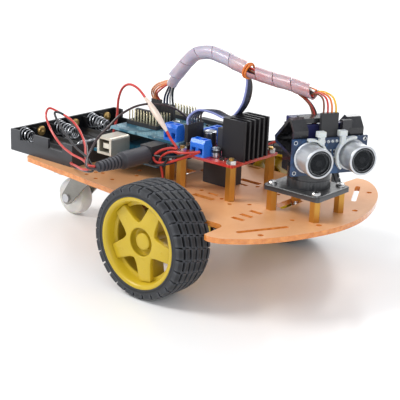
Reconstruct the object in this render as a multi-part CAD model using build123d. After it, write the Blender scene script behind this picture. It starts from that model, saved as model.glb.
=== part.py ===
from build123d import *
import math
import os

# Two wheel robot car with a rear caster and a distance sensor on a pan and tilt head, mm.
# Origin: on the ground under the middle of the drive axle. +X is forwards
# (rounded end with the distance sensor), +Y is the car's left, +Z is up.

os.makedirs("parts", exist_ok=True)

# ---------------------------------------------------------------- dimensions
RUN = 0.05                       # radial running clearance
SIDES = (-1, 1)                  # right and left, or below and above

# Drive wheels
WHEEL_R = 32.5
AXLE_Z = WHEEL_R
TYRE_IN, TYRE_OUT = 52.0, 78.0   # |y| of the tyre's two faces
RIM_LIP_R = 26.0
RIM_SEAT_R = 25.0
TYRE_GAP = 0.02
SPOKE_ANGLES = [-8 + 72 * k for k in range(5)]

# Chassis plate
PLATE_Z0, PLATE_T = 44.0, 3.0
PLATE_Z1 = PLATE_Z0 + PLATE_T
REAR_X = -134
WAIST_X, WAIST_Y = 40, 52        # narrow part between the wheels
NOSE_Y = 3.5                     # the rounded end sits a little to the left of the axle's middle
COUNTERBORE = 1.8                # depth of the caster screws' counterbores

# Gearboxes and motors
GB_IN, GB_OUT = 28.0, 46.8       # |y| of the gearbox faces
GB_SPLIT = 42.3                  # |y| where cover meets case
GB_X0, GB_X1 = -11.0, 26.0
GB_Z0, GB_Z1 = 21.25, 43.75
GB_WALL = 1.5
MOTOR_Y = -(GB_IN + GB_OUT) / 2
CAN_X1 = 51.0                    # end of the motor can
CAN_R, CAN_FLAT = 10.0, 7.5      # radius, and half the distance across the flats
CAN_WALL = 0.8
CAP_INSET = 0.85                 # from the can's outside to the cap's plug and the magnets
SHAFT_R, SHAFT_FLAT = 2.7, 1.85
SHAFT_FIT = 0.02
MODULE = 0.4                     # spur gears
PINION_MODULE = 0.35             # motor pinion
N_OUT, N_IDLER_P, N_IDLER_W, N_CROWN_P, N_CROWN, N_MOTOR = 40, 10, 30, 10, 36, 9
X_IDLER = MODULE * (N_OUT + N_IDLER_P) / 2
X_CROWN = X_IDLER + MODULE * (N_IDLER_W + N_CROWN_P) / 2
PIN_R = 0.75
BRACKET_X = (8.0, 27.0)
BRACKET_T = 3.0
BRACKET_OUT = -(GB_OUT + BRACKET_T)
MOTOR_SCREW_X, MOTOR_SCREW_DZ = 15.8, 8.75

# Fixings
STANDOFF_AF = 5.5                # brass hexagon across flats
SCREW_R = 1.25
BORE_R = 1.3                     # bore that takes a screw, also the small plate holes
STUD_R = 1.4
NUT_BORE_R = 1.42
HOLE_R = 1.6

# Boards, as x and y extents, underside z, and hole centres (x, y)
PCB_T = 1.6
DRIVER_X, DRIVER_Y, DRIVER_SIDE = -4.0, 2.6, 43.0
DRIVER_Z = 67.0
DRIVER_TOP = DRIVER_Z + PCB_T
DRIVER_CAPS = [(-14.5, -0.5, 4.0, 11.0), (-0.9, -11.0, 2.9, 5.4)]   # x, y, radius, height
DRIVER_HOLES = [(14.5, -16.0), (-22.5, -16.0), (14.5, 21.0), (-22.5, 21.0)]
CTRL_X = (-88.3, -34.9)
CTRL_Y = (-24.0, 44.6)
CTRL_Z = 57.0
CTRL_TOP = CTRL_Z + PCB_T
CTRL_HOLES = [(-37.4, -9.0), (-85.7, -8.7), (-42.5, 42.0), (-70.5, 42.0)]
SHIELD_X = (-86.0, -29.0)
SHIELD_Y = (-12.0, 45.0)
SHIELD_Z = 69.6
SHIELD_TOP = SHIELD_Z + PCB_T
SOCKET_TOP = SHIELD_Z - 0.05     # sockets under the shield stop just short of it
JACK_X, JACK_Z = -42.5, 64.2     # axis of the power jack and plug
BUTTON_X, BUTTON_Y = -50.0, 28.0

# Battery holder
HOLD_X0, HOLD_X1 = -152.0, -94.0
HOLD_Y0, HOLD_Y1 = -37.0, 58.0
HOLD_Z0 = PLATE_Z1
HOLD_Z1 = HOLD_Z0 + 14.0
HOLD_END, HOLD_SIDE, HOLD_FLOOR = 1.6, 1.5, 1.4   # wall and floor thicknesses
CELLS = 6
CELL_PITCH = (HOLD_Y1 - HOLD_Y0 - 2 * HOLD_SIDE) / CELLS
CELL_Z = HOLD_Z0 + HOLD_FLOOR + 7.25
HOLDER_SCREWS = [(-110.0, -27.8), (-110.0, 33.5)]

# Power switch
SWITCH_X, SWITCH_Y = -10.5, 7.5
ROCKER_Z = 46.0                  # rocker pivot
ROCKER_TILT = 12

# Caster
CASTER_X, CASTER_TRAIL, CASTER_R = -116.0, 14.0, 12.5
CASTER_AXLE_X = CASTER_X - CASTER_TRAIL
CASTER_Z0, CASTER_Z1 = 31.0, 33.0          # mounting plate
FORK_IN, FORK_OUT = 7.0, 8.4               # |y| of the fork's cheeks
FORK_Z0, FORK_Z1 = 27.5, 28.9              # top web of the fork
CASTER_HOLES = [(-131.0, -12.0), (-101.0, -12.0), (-131.0, 12.0), (-101.0, 12.0)]

# Pan and tilt head
PAN_PLATE = (55.0, 1.0, 37.0, 32.0)   # centre x, y, length, width
PAN_Z = 59.0
PAN_HOLES = [(40.4, -11.0), (69.4, -11.0), (40.4, 13.0), (69.4, 13.0)]
PAN_AXIS = (55.5, 2.0)
PAN_YAW = -27.8                  # where the head points at rest
HEAD_N, HEAD_T = 18.6, 1.43      # sensor board front face from the pan axis, and sideways offset
SENSOR_Z = 83.6                  # centre of the sensor board
TILT_N, TILT_Z = 3.6, 93.1       # tilt axis, ahead of the pan axis
SERVO_BOSS_R = 2.4
TILT_PIN_R = 1.5
DECK_Z = 85.4                    # top of the yoke's tower

# Wires
WIRE_R = 0.65
JUMPER_R = 0.6
SENSOR_WIRE_R = 0.55
BUNDLE_R = 2.6
WRAP_RO, WRAP_RI = 3.8, 2.9
PIN_PITCH = 2.54


# ------------------------------------------------------------------- helpers
def box(x0, x1, y0, y1, z0, z1):
    return Pos((x0 + x1) / 2, (y0 + y1) / 2, (z0 + z1) / 2) * Box(
        abs(x1 - x0), abs(y1 - y0), abs(z1 - z0)
    )


def post(x, y, half_x, half_y, z0, z1):
    """Upright block centred on (x, y)."""
    return box(x - half_x, x + half_x, y - half_y, y + half_y, z0, z1)


def cyl_z(x, y, z0, z1, r):
    return Pos(x, y, (z0 + z1) / 2) * Cylinder(r, abs(z1 - z0))


def cyl_x(x0, x1, y, z, r):
    return Pos((x0 + x1) / 2, y, z) * Rot(0, 90, 0) * Cylinder(r, abs(x1 - x0))


def cyl_y(x, y0, y1, z, r):
    return Pos(x, (y0 + y1) / 2, z) * Rot(90, 0, 0) * Cylinder(r, abs(y1 - y0))


def poly(points):
    return make_face(Polyline(*points, close=True))


def prism_y(face, y0, y1):
    """Face drawn in (x, z), as a prism from y0 to y1 (y0 < y1)."""
    return Pos(0, y1, 0) * Rot(90, 0, 0) * extrude(face, y1 - y0)


def prism_x(face, x0, x1):
    """Face drawn in (y, z), as a prism from x0 to x1."""
    return Plane(origin=(x0, 0, 0), x_dir=(0, 1, 0), z_dir=(1, 0, 0)) * extrude(face, x1 - x0)


def turn_y(points, x=0.0, z=0.0):
    """(r, y) outline turned about an axis along Y through (x, z)."""
    return Pos(x, 0, z) * revolve(poly(points), Axis.Y, 360)


def turn_z(points, x=0.0, y=0.0):
    """(r, z) outline turned about a vertical axis through (x, y)."""
    return Pos(x, y, 0) * Rot(90, 0, 0) * revolve(poly(points), Axis.Y, 360)


def hex_z(x, y, z0, z1, across_flats):
    radius = across_flats / 2 / math.cos(math.pi / 6)
    return Pos(x, y, z0) * extrude(RegularPolygon(radius, 6), z1 - z0)


def drilled(body, holes, z0, z1, r=HOLE_R):
    """Body with a vertical hole at each (x, y)."""
    for x, y in holes:
        body = body - cyl_z(x, y, z0, z1, r)
    return body


def gear_face(teeth, module, phase=0.0):
    """Spur gear outline with slim straight-sided teeth."""
    pitch_r = module * teeth / 2
    tip_r, root_r = pitch_r + 0.8 * module, pitch_r - 1.2 * module
    step = 2 * math.pi / teeth
    half_root, half_tip = 0.19 * step, 0.10 * step
    corners = ((root_r, -half_root), (tip_r, -half_tip), (tip_r, half_tip), (root_r, half_root))
    points = []
    for i in range(teeth):
        middle = math.radians(phase) + i * step
        for r, a in corners:
            points.append((r * math.cos(middle + a), r * math.sin(middle + a)))
    return poly(points)


def face_at(x, z, face):
    return Pos(x, z) * face


def double_flat(r, flat_half):
    return Circle(r) & Rectangle(4 * r, 2 * flat_half)


def shaft_hole():
    return double_flat(SHAFT_R + SHAFT_FIT, SHAFT_FLAT + SHAFT_FIT)


def wire(points, r):
    path = Spline(*points)
    return sweep((path ^ 0) * Circle(r), path=path)


def left(shape):
    return mirror(shape, about=Plane.XZ)


def aft(shape):
    """Turn a gearmotor piece end for end, so that the motor lies behind the axle."""
    return mirror(shape, about=Plane.YZ)


def solids_of(things):
    solids = []
    for thing in things:
        if isinstance(thing, (list, tuple)):
            solids += solids_of(thing)
        else:
            solids += list(thing.solids())
    return solids


def save(name, *things):
    export_step(Compound(solids_of(things)), f"parts/{name}.step")


def both(*shapes):
    """Right side shapes and their mirror images."""
    return list(shapes) + [left(s) for s in shapes]


def save_each_side(name, *shapes):
    """One file for the right side shapes and one for their mirror images."""
    save(f"right_{name}", *shapes)
    save(f"left_{name}", *[left(s) for s in shapes])


# ------------------------------------------------------------- chassis plate
# Half of the rounded end: x, distance from the nose's centreline
NOSE = [
    (41, 73.5), (44.5, 74.5), (48.5, 73.8), (53, 71.2), (57.5, 67.4), (62, 62.6),
    (67, 56), (72.5, 46.5), (78, 33.5), (81.8, 21.5), (84, 10.5), (84.6, 0),
]
# The rest of the outline, from the nose's left end round the rear to its right end
TAIL = [
    (41, NOSE_Y + 73.5), (WAIST_X, WAIST_Y), (-40, WAIST_Y), (-46, 50.5), (REAR_X, 41),
    (REAR_X, -41), (-46, -50.5), (-40, -WAIST_Y), (WAIST_X, -WAIST_Y), (41, NOSE_Y - 73.5),
]
NOSE_HOLES = [(75.0, NOSE_Y + 18.0), (75.0, NOSE_Y - 18.0)]
WIDE_HOLES = [(62.5, NOSE_Y + 53.5), (62.5, NOSE_Y - 53.5)]
# Small holes repeated on both sides: x, |y|
SMALL_HOLES = [
    (18.8, 21.3), (27.2, 13.8), (-9.0, 13.0), (9.5, 17.0), (-78, 40), (-77, 33), (-73, 31),
    (-68, 42), (-60, 36), (-55, 20), (-62, 10), (-98, 36), (-104, 20),
]


def hole(x, y, r=HOLE_R):
    return cyl_z(x, y, PLATE_Z0 - 1, PLATE_Z1 + 1, r)


def slot(x0, y0, x1, y1, width, square=False):
    """Slot through the plate whose overall length runs between two points."""
    length, angle = math.hypot(x1 - x0, y1 - y0), math.degrees(math.atan2(y1 - y0, x1 - x0))
    shape = Rectangle(length, width) if square else SlotOverall(length, width)
    place = Pos((x0 + x1) / 2, (y0 + y1) / 2, PLATE_Z0 - 1) * Rot(0, 0, angle)
    return place * extrude(shape, PLATE_T + 2)


def switch_block(half_x, half_y, z0, z1):
    return post(SWITCH_X, SWITCH_Y, half_x, half_y, z0, z1)


def plate_cuts():
    cuts = [hole(x, y) for x, y in DRIVER_HOLES + CTRL_HOLES + PAN_HOLES + CASTER_HOLES
            + HOLDER_SCREWS + NOSE_HOLES + WIDE_HOLES]
    cuts += [cyl_z(x, y, PLATE_Z1 - COUNTERBORE, PLATE_Z1 + 1, 3.0) for x, y in CASTER_HOLES]
    for s in SIDES:
        cuts.append(slot(-7.5, s * 22, 7.5, s * 22, 4.0, True))      # encoder disc
        for y in (26.5, 48.3):                                       # bracket tabs
            cuts.append(slot(-21.05, s * y, -12.95, s * y, 3.1, True))
        for y in (22.0, 30.5, 38.0):
            cuts.append(slot(34, s * y, 42, s * y, 3.0, True))
        cuts.append(slot(51.0, NOSE_Y + s * 59.5, 65.0, NOSE_Y + s * 32.0, 3.0))
        cuts.append(hole(60.0, NOSE_Y + s * 21.6, BORE_R))
        cuts.append(slot(-3, s * 14.0, 4, s * 14.0, 2.4, True))
        cuts += [hole(x, s * y, BORE_R) for x, y in SMALL_HOLES]
    cuts.append(slot(41, -6, 41, 14, 8.0, True))                     # cable windows
    cuts.append(slot(-40.5, 3, -40.5, 15, 8.0, True))
    cuts.append(switch_block(9.35, 6.35, PLATE_Z0 - 1, PLATE_Z1 + 1))
    cuts += [slot(-34, s * 24, -34, s * 17, 6.0) for s in SIDES]     # motor leads
    return cuts


def chassis_plate():
    front = [(x, NOSE_Y - y) for x, y in NOSE] + [(x, NOSE_Y + y) for x, y in reversed(NOSE[:-1])]
    outline = make_face(Spline(*front) + Polyline(*TAIL))
    plate = Pos(0, 0, PLATE_Z0) * extrude(outline, PLATE_T)
    rear_corners = plate.edges().filter_by(Axis.Z).filter_by(
        lambda e: abs(e.center().X - REAR_X) < 1)
    plate = fillet(rear_corners, 5.0)
    waist_corners = plate.edges().filter_by(Axis.Z).filter_by(
        lambda e: abs(e.center().X - WAIST_X) < 0.5 and abs(abs(e.center().Y) - WAIST_Y) < 0.5)
    plate = fillet(waist_corners, 4.5)
    return plate - plate_cuts()


save("chassis_plate", chassis_plate())


# --------------------------------------------------------- gearmotors (pair)
# Every piece is drawn for the right side (negative Y) with its motor ahead of the
# axle, turned end for end by aft() so that the motor lies behind it, and mirrored.
def gear_y(depth):
    """y at a depth from the inner face of the right gearbox, going outwards."""
    return -(GB_IN + depth)


def gearbox_shell():
    block = box(GB_X0, GB_X1, -GB_OUT, -GB_IN, GB_Z0, GB_Z1)
    block = fillet(block.edges().filter_by(Axis.Y).filter_by(lambda e: e.center().X < 0), 5.0)
    shell = block - box(GB_X0 + GB_WALL, 24.9, -GB_OUT + GB_WALL, -GB_IN - GB_WALL,
                        GB_Z0 + GB_WALL, GB_Z1 - GB_WALL)
    screw_z = [AXLE_Z + s * MOTOR_SCREW_DZ for s in SIDES]
    for z in screw_z:
        shell = shell + (cyl_y(MOTOR_SCREW_X, -GB_OUT, -GB_IN, z, 2.3) & block)
    for z in screw_z:
        shell = shell - cyl_y(MOTOR_SCREW_X, -GB_OUT - 1, -GB_IN + 1, z, HOLE_R)
    shell = shell - cyl_y(0, -GB_OUT - 1, -GB_IN + 1, AXLE_Z, SHAFT_R + RUN)
    shell = shell - cyl_x(24, 27, MOTOR_Y, AXLE_Z, 2.3)
    for x in (X_IDLER, X_CROWN):
        shell = shell - cyl_y(x, gear_y(18.1), gear_y(0.7), AXLE_Z, PIN_R + 0.01)
    return shell


def motor_can():
    outer = Circle(CAN_R) & Rectangle(2 * CAN_FLAT, 4 * CAN_R)
    inner = Circle(CAN_R - CAN_WALL) & Rectangle(2 * (CAN_FLAT - CAN_WALL), 4 * CAN_R)
    can = Pos(0, MOTOR_Y, AXLE_Z) * (
        prism_x(outer, GB_X1, CAN_X1) - prism_x(inner, GB_X1 + CAN_WALL, CAN_X1 + 1))
    return can - cyl_x(GB_X1 - 1, GB_X1 + 2, MOTOR_Y, AXLE_Z, 0.8)


def motor_end_cap():
    plug = Circle(CAN_R - CAP_INSET) & Rectangle(2 * (CAN_FLAT - CAP_INSET), 4 * CAN_R)
    flange = Circle(CAN_R) & Rectangle(2 * CAN_FLAT, 4 * CAN_R)
    cap = Pos(0, MOTOR_Y, AXLE_Z) * (
        prism_x(plug, CAN_X1 - 1.6, CAN_X1) + prism_x(flange, CAN_X1, CAN_X1 + 1.2))
    cap = cap + cyl_x(CAN_X1 + 1.2, CAN_X1 + 2.4, MOTOR_Y, AXLE_Z, 3.0)
    return cap - cyl_x(CAN_X1 - 3, CAN_X1 + 1.4, MOTOR_Y, AXLE_Z, 0.8)


def motor_tab(s):
    y = MOTOR_Y + s * 5
    return box(CAN_X1 + 1.2, CAN_X1 + 4.2, y - 0.25, y + 0.25, AXLE_Z - 1.4, AXLE_Z + 1.4)


def magnet(s):
    ring = Pos(0, MOTOR_Y, AXLE_Z) * prism_x(Circle(CAN_R - CAP_INSET) - Circle(6.7), 29.0, 45.0)
    return ring & box(28, 46, MOTOR_Y - 6.5, MOTOR_Y + 6.5, AXLE_Z + s * 4.6, AXLE_Z + s * 12)


def rotor():
    """Shaft, three-pole core, commutator and pinion."""
    shaft = cyl_x(22.6, CAN_X1 + 0.6, MOTOR_Y, AXLE_Z, PIN_R)
    core = prism_x(Circle(6.0) - Circle(PIN_R), 31.0, 43.0)
    for k in range(3):
        core = core - Rot(k * 120 + 60, 0, 0) * box(30, 44, -1.0, 1.0, 3.4, 7)
    commutator = prism_x(Circle(2.4) - Circle(PIN_R), 44.0, 48.0)
    # a tooth points at the crown gear, away from the car's middle
    profile = gear_face(N_MOTOR, PINION_MODULE, 180.0) - Circle(PIN_R)
    pinion = prism_x(profile, 22.7, 24.75)
    return [shaft] + [Pos(0, MOTOR_Y, AXLE_Z) * s for s in (core, commutator, pinion)]


def gear(x, teeth, phase, depth_out, depth_in):
    face = face_at(x, AXLE_Z, gear_face(teeth, MODULE, phase))
    return prism_y(face, gear_y(depth_out), gear_y(depth_in))


def hub(x, depth_out, depth_in, r):
    return cyl_y(x, gear_y(depth_out), gear_y(depth_in), AXLE_Z, r)


def crown_gear():
    """Crown teeth on a disc, with a small spur pinion on its inner side."""
    pinion = gear(X_CROWN, N_CROWN_P, 18.0, 9.6, 5.4)
    boss = hub(X_CROWN, 11.5, 9.6, 2.6)
    disc = hub(X_CROWN, 13.0, 11.5, 6.6)
    end_hubs = hub(X_CROWN, 5.4, 1.6, 1.4) + hub(X_CROWN, 17.1, 13.0, 1.4)
    body = pinion + boss + disc + end_hubs
    tooth_face = poly([(5.3, -0.16), (6.55, -0.16), (6.55, 0.16), (5.3, 0.16)])
    tooth = prism_y(tooth_face, gear_y(11.6), gear_y(10.72))
    body = body + [Pos(X_CROWN, 0, AXLE_Z) * Rot(0, -(5.0 + k * 360.0 / N_CROWN), 0) * tooth
                   for k in range(N_CROWN)]
    return body - hub(X_CROWN, 20, -1, PIN_R + RUN)


def idler_gear():
    body = gear(X_IDLER, N_IDLER_P, 18.0, 6.0, 2.2)
    body = body + gear(X_IDLER, N_IDLER_W, 0.0, 8.6, 6.0)
    body = body + hub(X_IDLER, 2.2, 1.6, 1.4) + hub(X_IDLER, 9.8, 8.6, 1.4)
    return body - hub(X_IDLER, 20, -1, PIN_R + RUN)


def output_gear():
    """Output wheel in one piece with its double-flatted shaft."""
    middle = cyl_y(0, -GB_OUT, -GB_IN, AXLE_Z, SHAFT_R)
    ends = prism_y(face_at(0, AXLE_Z, double_flat(SHAFT_R, SHAFT_FLAT)), -61.0, -19.0)
    wheel = gear(0, N_OUT, 0.0, 5.6, 2.8)
    hubs = hub(0, 2.8, 1.7, 4.0) + hub(0, 17.1, 16.0, 3.2)
    return middle + ends + wheel + hubs


def encoder_disc():
    """Slotted disc on the inner end of the output shaft."""
    face = Circle(13.0) - [Rot(0, 0, k * 18) * Pos(10.2, 0) * Rectangle(3.6, 1.3)
                           for k in range(20)]
    face = face - shaft_hole()
    disc = prism_y(face_at(0, AXLE_Z, face), -22.8, -21.2)
    collar = Circle(4.5) - shaft_hole()
    return disc + prism_y(face_at(0, AXLE_Z, collar), -24.2, -22.8)


shell = gearbox_shell()
cover_side = box(-20, 40, -GB_SPLIT, 0, 0, 60)     # everything inboard of the split
save("gearbox_cases", both(aft(shell & cover_side)))
save("gearbox_covers", both(aft(shell - cover_side)))
gear_pins = [aft(hub(x, 18.05, 0.75, PIN_R)) for x in (X_IDLER, X_CROWN)]
save("gear_pins", both(*gear_pins))
save("motor_cans", both(aft(motor_can())))
save("motor_end_caps", both(aft(motor_end_cap()), *[aft(motor_tab(s)) for s in SIDES]))
save("motor_magnets", both(*[aft(magnet(s)) for s in SIDES]))
save_each_side("motor_rotor", *[aft(s) for s in rotor()])
save_each_side("crown_gear", aft(crown_gear()))
save_each_side("idler_gear", aft(idler_gear()))
save_each_side("output_gear", aft(output_gear()))
save_each_side("encoder_disc", encoder_disc())

# ------------------------------------------------------ brackets and fixings
# Bracket outline with its tab on top: x, z
BRACKET = [
    (BRACKET_X[0], 22), (BRACKET_X[1], 22), (BRACKET_X[1], 43.9), (21, 43.9),
    (21, PLATE_Z1), (13, PLATE_Z1), (13, 43.9), (BRACKET_X[0], 43.9),
]


def bracket(y0, y1):
    body = prism_y(poly(BRACKET), y0, y1)
    body = fillet(body.edges().filter_by(Axis.Y).filter_by(lambda e: e.center().Z < 23), 2.5)
    for s in SIDES:
        body = body - cyl_y(MOTOR_SCREW_X, y0 - 1, y1 + 1, AXLE_Z + s * MOTOR_SCREW_DZ, HOLE_R)
    return aft(body)


def cross_recess(x, y, z, depth=0.9):
    return post(x, y, 1.6, 0.3, z - depth, z + 1) + post(x, y, 0.3, 1.6, z - depth, z + 1)


def pan_screw(x, y, z, length, r=2.6, h=1.9, down=True):
    """Pan head screw whose head sits on z, with its shank going down, or up."""
    head = turn_z([(0, 0), (r, 0), (r, h * 0.45), (r * 0.8, h * 0.85), (r * 0.45, h), (0, h)])
    screw = head + cyl_z(0, 0, -length, 0, SCREW_R) - cross_recess(0, 0, h)
    if not down:
        screw = Rot(180, 0, 0) * screw
    return Pos(x, y, z) * screw


def sunk_screw(x, y):
    """Flat topped screw in a counterbore of the plate."""
    top, seat = PLATE_Z1 - 0.1, PLATE_Z1 - COUNTERBORE
    screw = cyl_z(x, y, seat, top, 2.8) + cyl_z(x, y, 39.6, seat, SCREW_R)
    return screw - cross_recess(x, y, top, 0.8)


def motor_screw(z):
    shank = cyl_y(MOTOR_SCREW_X, BRACKET_OUT, BRACKET_OUT + 30.0, z, STUD_R)
    return aft(shank + cyl_y(MOTOR_SCREW_X, BRACKET_OUT - 1.8, BRACKET_OUT, z, 2.7))


def motor_nut(z):
    face = face_at(MOTOR_SCREW_X, z, RegularPolygon(3.1, 6) - Circle(NUT_BORE_R))
    inner_face = -GB_IN + BRACKET_T
    return aft(prism_y(face, inner_face, inner_face + 2.4))


def standoff(x, y, z0, z1):
    return hex_z(x, y, z0, z1, STANDOFF_AF) - cyl_z(x, y, z0 - 1, z1 + 1, BORE_R)


def driver_standoff(x, y):
    """Standoff with a bore below and a stud above."""
    body = hex_z(x, y, PLATE_Z1, DRIVER_Z, STANDOFF_AF)
    body = body - cyl_z(x, y, PLATE_Z1 - 1, PLATE_Z1 + 7, BORE_R)
    return body + cyl_z(x, y, DRIVER_Z, DRIVER_Z + 5.0, STUD_R)


brackets = []
for y0, y1 in ((-GB_IN, -GB_IN + BRACKET_T), (BRACKET_OUT, -GB_OUT)):
    brackets += both(bracket(y0, y1))
save("motor_brackets", brackets)

screws = [pan_screw(x, y, PLATE_Z0, 8.0, h=1.6, down=False)
          for x, y in DRIVER_HOLES + CTRL_HOLES + PAN_HOLES]
screws += [pan_screw(x, y, CTRL_TOP, 4.0, r=2.4) for x, y in CTRL_HOLES]
screws += [pan_screw(x, y, PAN_Z + 3.0, 6.0) for x, y in PAN_HOLES]
for x, y in CASTER_HOLES:
    screws += [pan_screw(x, y, CASTER_Z0, 5.0, down=False), sunk_screw(x, y)]
screws += [pan_screw(x, y, HOLD_Z0 + HOLD_FLOOR, 7.8) for x, y in HOLDER_SCREWS]
nuts = []
for s in SIDES:
    screws += both(motor_screw(AXLE_Z + s * MOTOR_SCREW_DZ))
    nuts += both(motor_nut(AXLE_Z + s * MOTOR_SCREW_DZ))
save("machine_screws", screws)

for x, y in DRIVER_HOLES:
    nuts.append(hex_z(x, y, DRIVER_TOP, DRIVER_TOP + 2.3, 5.4) - cyl_z(x, y, 60, 80, NUT_BORE_R))
for x, y in HOLDER_SCREWS:
    nuts.append(hex_z(x, y, 41.6, PLATE_Z0, 5.5) - cyl_z(x, y, 40, 50, BORE_R))
save("hex_nuts", nuts)

standoffs = [driver_standoff(x, y) for x, y in DRIVER_HOLES]
standoffs += [standoff(x, y, PLATE_Z1, CTRL_Z) for x, y in CTRL_HOLES]
standoffs += [standoff(x, y, PLATE_Z1, PAN_Z) for x, y in PAN_HOLES]
standoffs += [standoff(x, y, CASTER_Z1, PLATE_Z0) for x, y in CASTER_HOLES]
save("brass_standoffs", standoffs)

# -------------------------------------------------------------- drive wheels
# Sections of the tyre and rim: r, |y|
TYRE_LIP_R, TYRE_SEAT_R = RIM_LIP_R + TYRE_GAP, RIM_SEAT_R + TYRE_GAP
TYRE = [
    (TYRE_LIP_R, TYRE_OUT - 0.1), (28.5, TYRE_OUT), (30.6, 77.3), (31.8, 75.8), (32.3, 73.5),
    (WHEEL_R, 69), (WHEEL_R, 61), (32.3, 56.5), (31.8, 54.2), (30.6, 52.7), (28.5, TYRE_IN),
    (TYRE_LIP_R, TYRE_IN + 0.1), (TYRE_LIP_R, 53.3), (TYRE_SEAT_R, 53.8), (TYRE_SEAT_R, 76.2),
    (TYRE_LIP_R, 76.7),
]
RIM = [
    (RIM_LIP_R, TYRE_OUT), (RIM_LIP_R, 76.7), (RIM_SEAT_R, 76.2), (RIM_SEAT_R, 53.8),
    (RIM_LIP_R, 53.3), (RIM_LIP_R, 52.2), (24.6, 52.2), (23.4, 54.5), (22.9, 60), (22.6, 69),
    (22.6, 73.2), (23.6, 77.3), (24.2, TYRE_OUT),
]


def right_wheel_ring(section):
    return turn_y([(r, -y) for r, y in section], 0, AXLE_Z)


def wheel_rim():
    rim = right_wheel_ring(RIM)
    spoke = poly([(0, -6.6), (22.75, -4.3), (22.75, 4.3), (0, 6.6)])
    spokes = [Rot(0, 0, angle) * spoke for angle in SPOKE_ANGLES]
    star = spokes[0] + spokes[1:]
    star = fillet(star.vertices().filter_by(lambda v: math.hypot(v.X, v.Y) < 14), 2.6)
    rim = rim + prism_y(face_at(0, AXLE_Z, star), -74.4, -71.2)
    # hub, with a recess in its outer end and a boss inside that
    recess = cyl_y(0, -80, -69.6, AXLE_Z, 8.0)
    rim = rim + cyl_y(0, -71.2, -50.3, AXLE_Z, 6.4)
    rim = rim - recess
    rim = rim + cyl_y(0, -71.4, -68.2, AXLE_Z, 9.6) - recess
    rim = rim + cyl_y(0, -73.2, -69.0, AXLE_Z, 4.9)
    for angle in SPOKE_ANGLES:           # stiffening ribs behind the spokes
        rib = box(6.0, 22.8, -71.4, -60.0, -0.9, 0.9)
        rim = rim + Pos(0, 0, AXLE_Z) * Rot(0, -angle, 0) * rib
    for angle in SPOKE_ANGLES:           # small ejector dimple on each spoke
        a = math.radians(angle)
        rim = rim - cyl_y(15.5 * math.cos(a), -75, -74.0, AXLE_Z + 15.5 * math.sin(a), 0.8)
    return rim - prism_y(face_at(0, AXLE_Z, shaft_hole()), -61.2, -50.0)


save_each_side("tyre", right_wheel_ring(TYRE))
save_each_side("wheel_rim", wheel_rim())


# ---------------------------------------------------------- motor driver
def driver_board():
    half = DRIVER_SIDE / 2
    return drilled(post(DRIVER_X, DRIVER_Y, half, half, DRIVER_Z, DRIVER_TOP),
                   DRIVER_HOLES, 60, 80)


def heat_sink():
    """Upright back plate with six fins pointing forwards."""
    width, fin_t, top = 23.0, 1.5, 92.0
    y0 = DRIVER_Y - width / 2
    sink = box(1.5, 4.3, y0, y0 + width, DRIVER_TOP, top)
    for k in range(6):
        y = y0 + k * (width - fin_t) / 5
        sink = sink + box(4.0, 17.5, y, y + fin_t, DRIVER_TOP, top)
    return sink


def driver_header():
    """Six-way strip with a pin and a plug in each way."""
    x0, x1, y0, pitch, ways = -24.6, -22.1, -12.0, 2.4, 6
    strip = box(x0, x1, y0, 2.2, DRIVER_TOP, DRIVER_TOP + 2.5)
    pins = [post(-23.35, -11.0 + pitch * k, 0.3, 0.3, DRIVER_TOP + 2.5, DRIVER_TOP + 4.4)
            for k in range(ways)]
    plugs = [box(x0, x1, y0 + pitch * k + 0.03, y0 + pitch * (k + 1) - 0.03,
                 DRIVER_TOP + 4.4, DRIVER_TOP + 15.0) for k in range(ways)]
    return [strip, pins, plugs]


def terminal(ways, h=10.0, d=7.6, pitch=5.08):
    """Screw terminal block, its ways along X, wire mouths on its -Y side."""
    length = ways * pitch
    profile = [(-d / 2, 0), (d / 2, 0), (d / 2, h * 0.62), (d / 2 - 1.4, h),
               (-d / 2 + 1.2, h), (-d / 2, h * 0.8)]
    block = Pos(-length / 2, 0, 0) * prism_x(poly(profile), 0, length)
    for k in range(ways):
        x = -length / 2 + (k + 0.5) * pitch
        block = block - box(x - 1.5, x + 1.5, -d, -d / 2 + 4.5, 1.6, 5.2)
        block = block - cyl_z(x, 0.2, h - 1.2, h + 1, 1.7)
        screw = cyl_z(x, 0.2, h - 1.7, h - 0.9, 1.6) - post(x, 0.2, 1.4, 0.3, h - 1.3, h)
        block = block + screw
    return block


save("driver_board", driver_board(), box(-17.4, -14.4, -10.8, -4.9, DRIVER_TOP, DRIVER_TOP + 2.6))
save("driver_heat_sink", heat_sink())
chip_legs = [post(-2.0 + 1.2 * (k % 2), DRIVER_Y - 8.9 + k * 1.27, 0.2, 0.2,
                  DRIVER_TOP, DRIVER_TOP + 3.0) for k in range(15)]
save("driver_chip", box(-3.4, 1.5, DRIVER_Y - 9.8, DRIVER_Y + 9.8,
                        DRIVER_TOP + 3.0, DRIVER_TOP + 16.5), chip_legs)
save("driver_capacitors", [cyl_z(x, y, DRIVER_TOP, DRIVER_TOP + h, r)
                           for x, y, r, h in DRIVER_CAPS])
save("driver_header", driver_header())
two_way = terminal(2)
save("screw_terminals",
     Pos(-9.0, -15.0, DRIVER_TOP) * two_way,
     Pos(-9.0, 20.2, DRIVER_TOP) * Rot(0, 0, 180) * two_way,
     Pos(-21.6, 10.2, DRIVER_TOP) * Rot(0, 0, -90) * terminal(3),
     Pos(-36.5, -7.6, SHIELD_TOP) * two_way)

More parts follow.
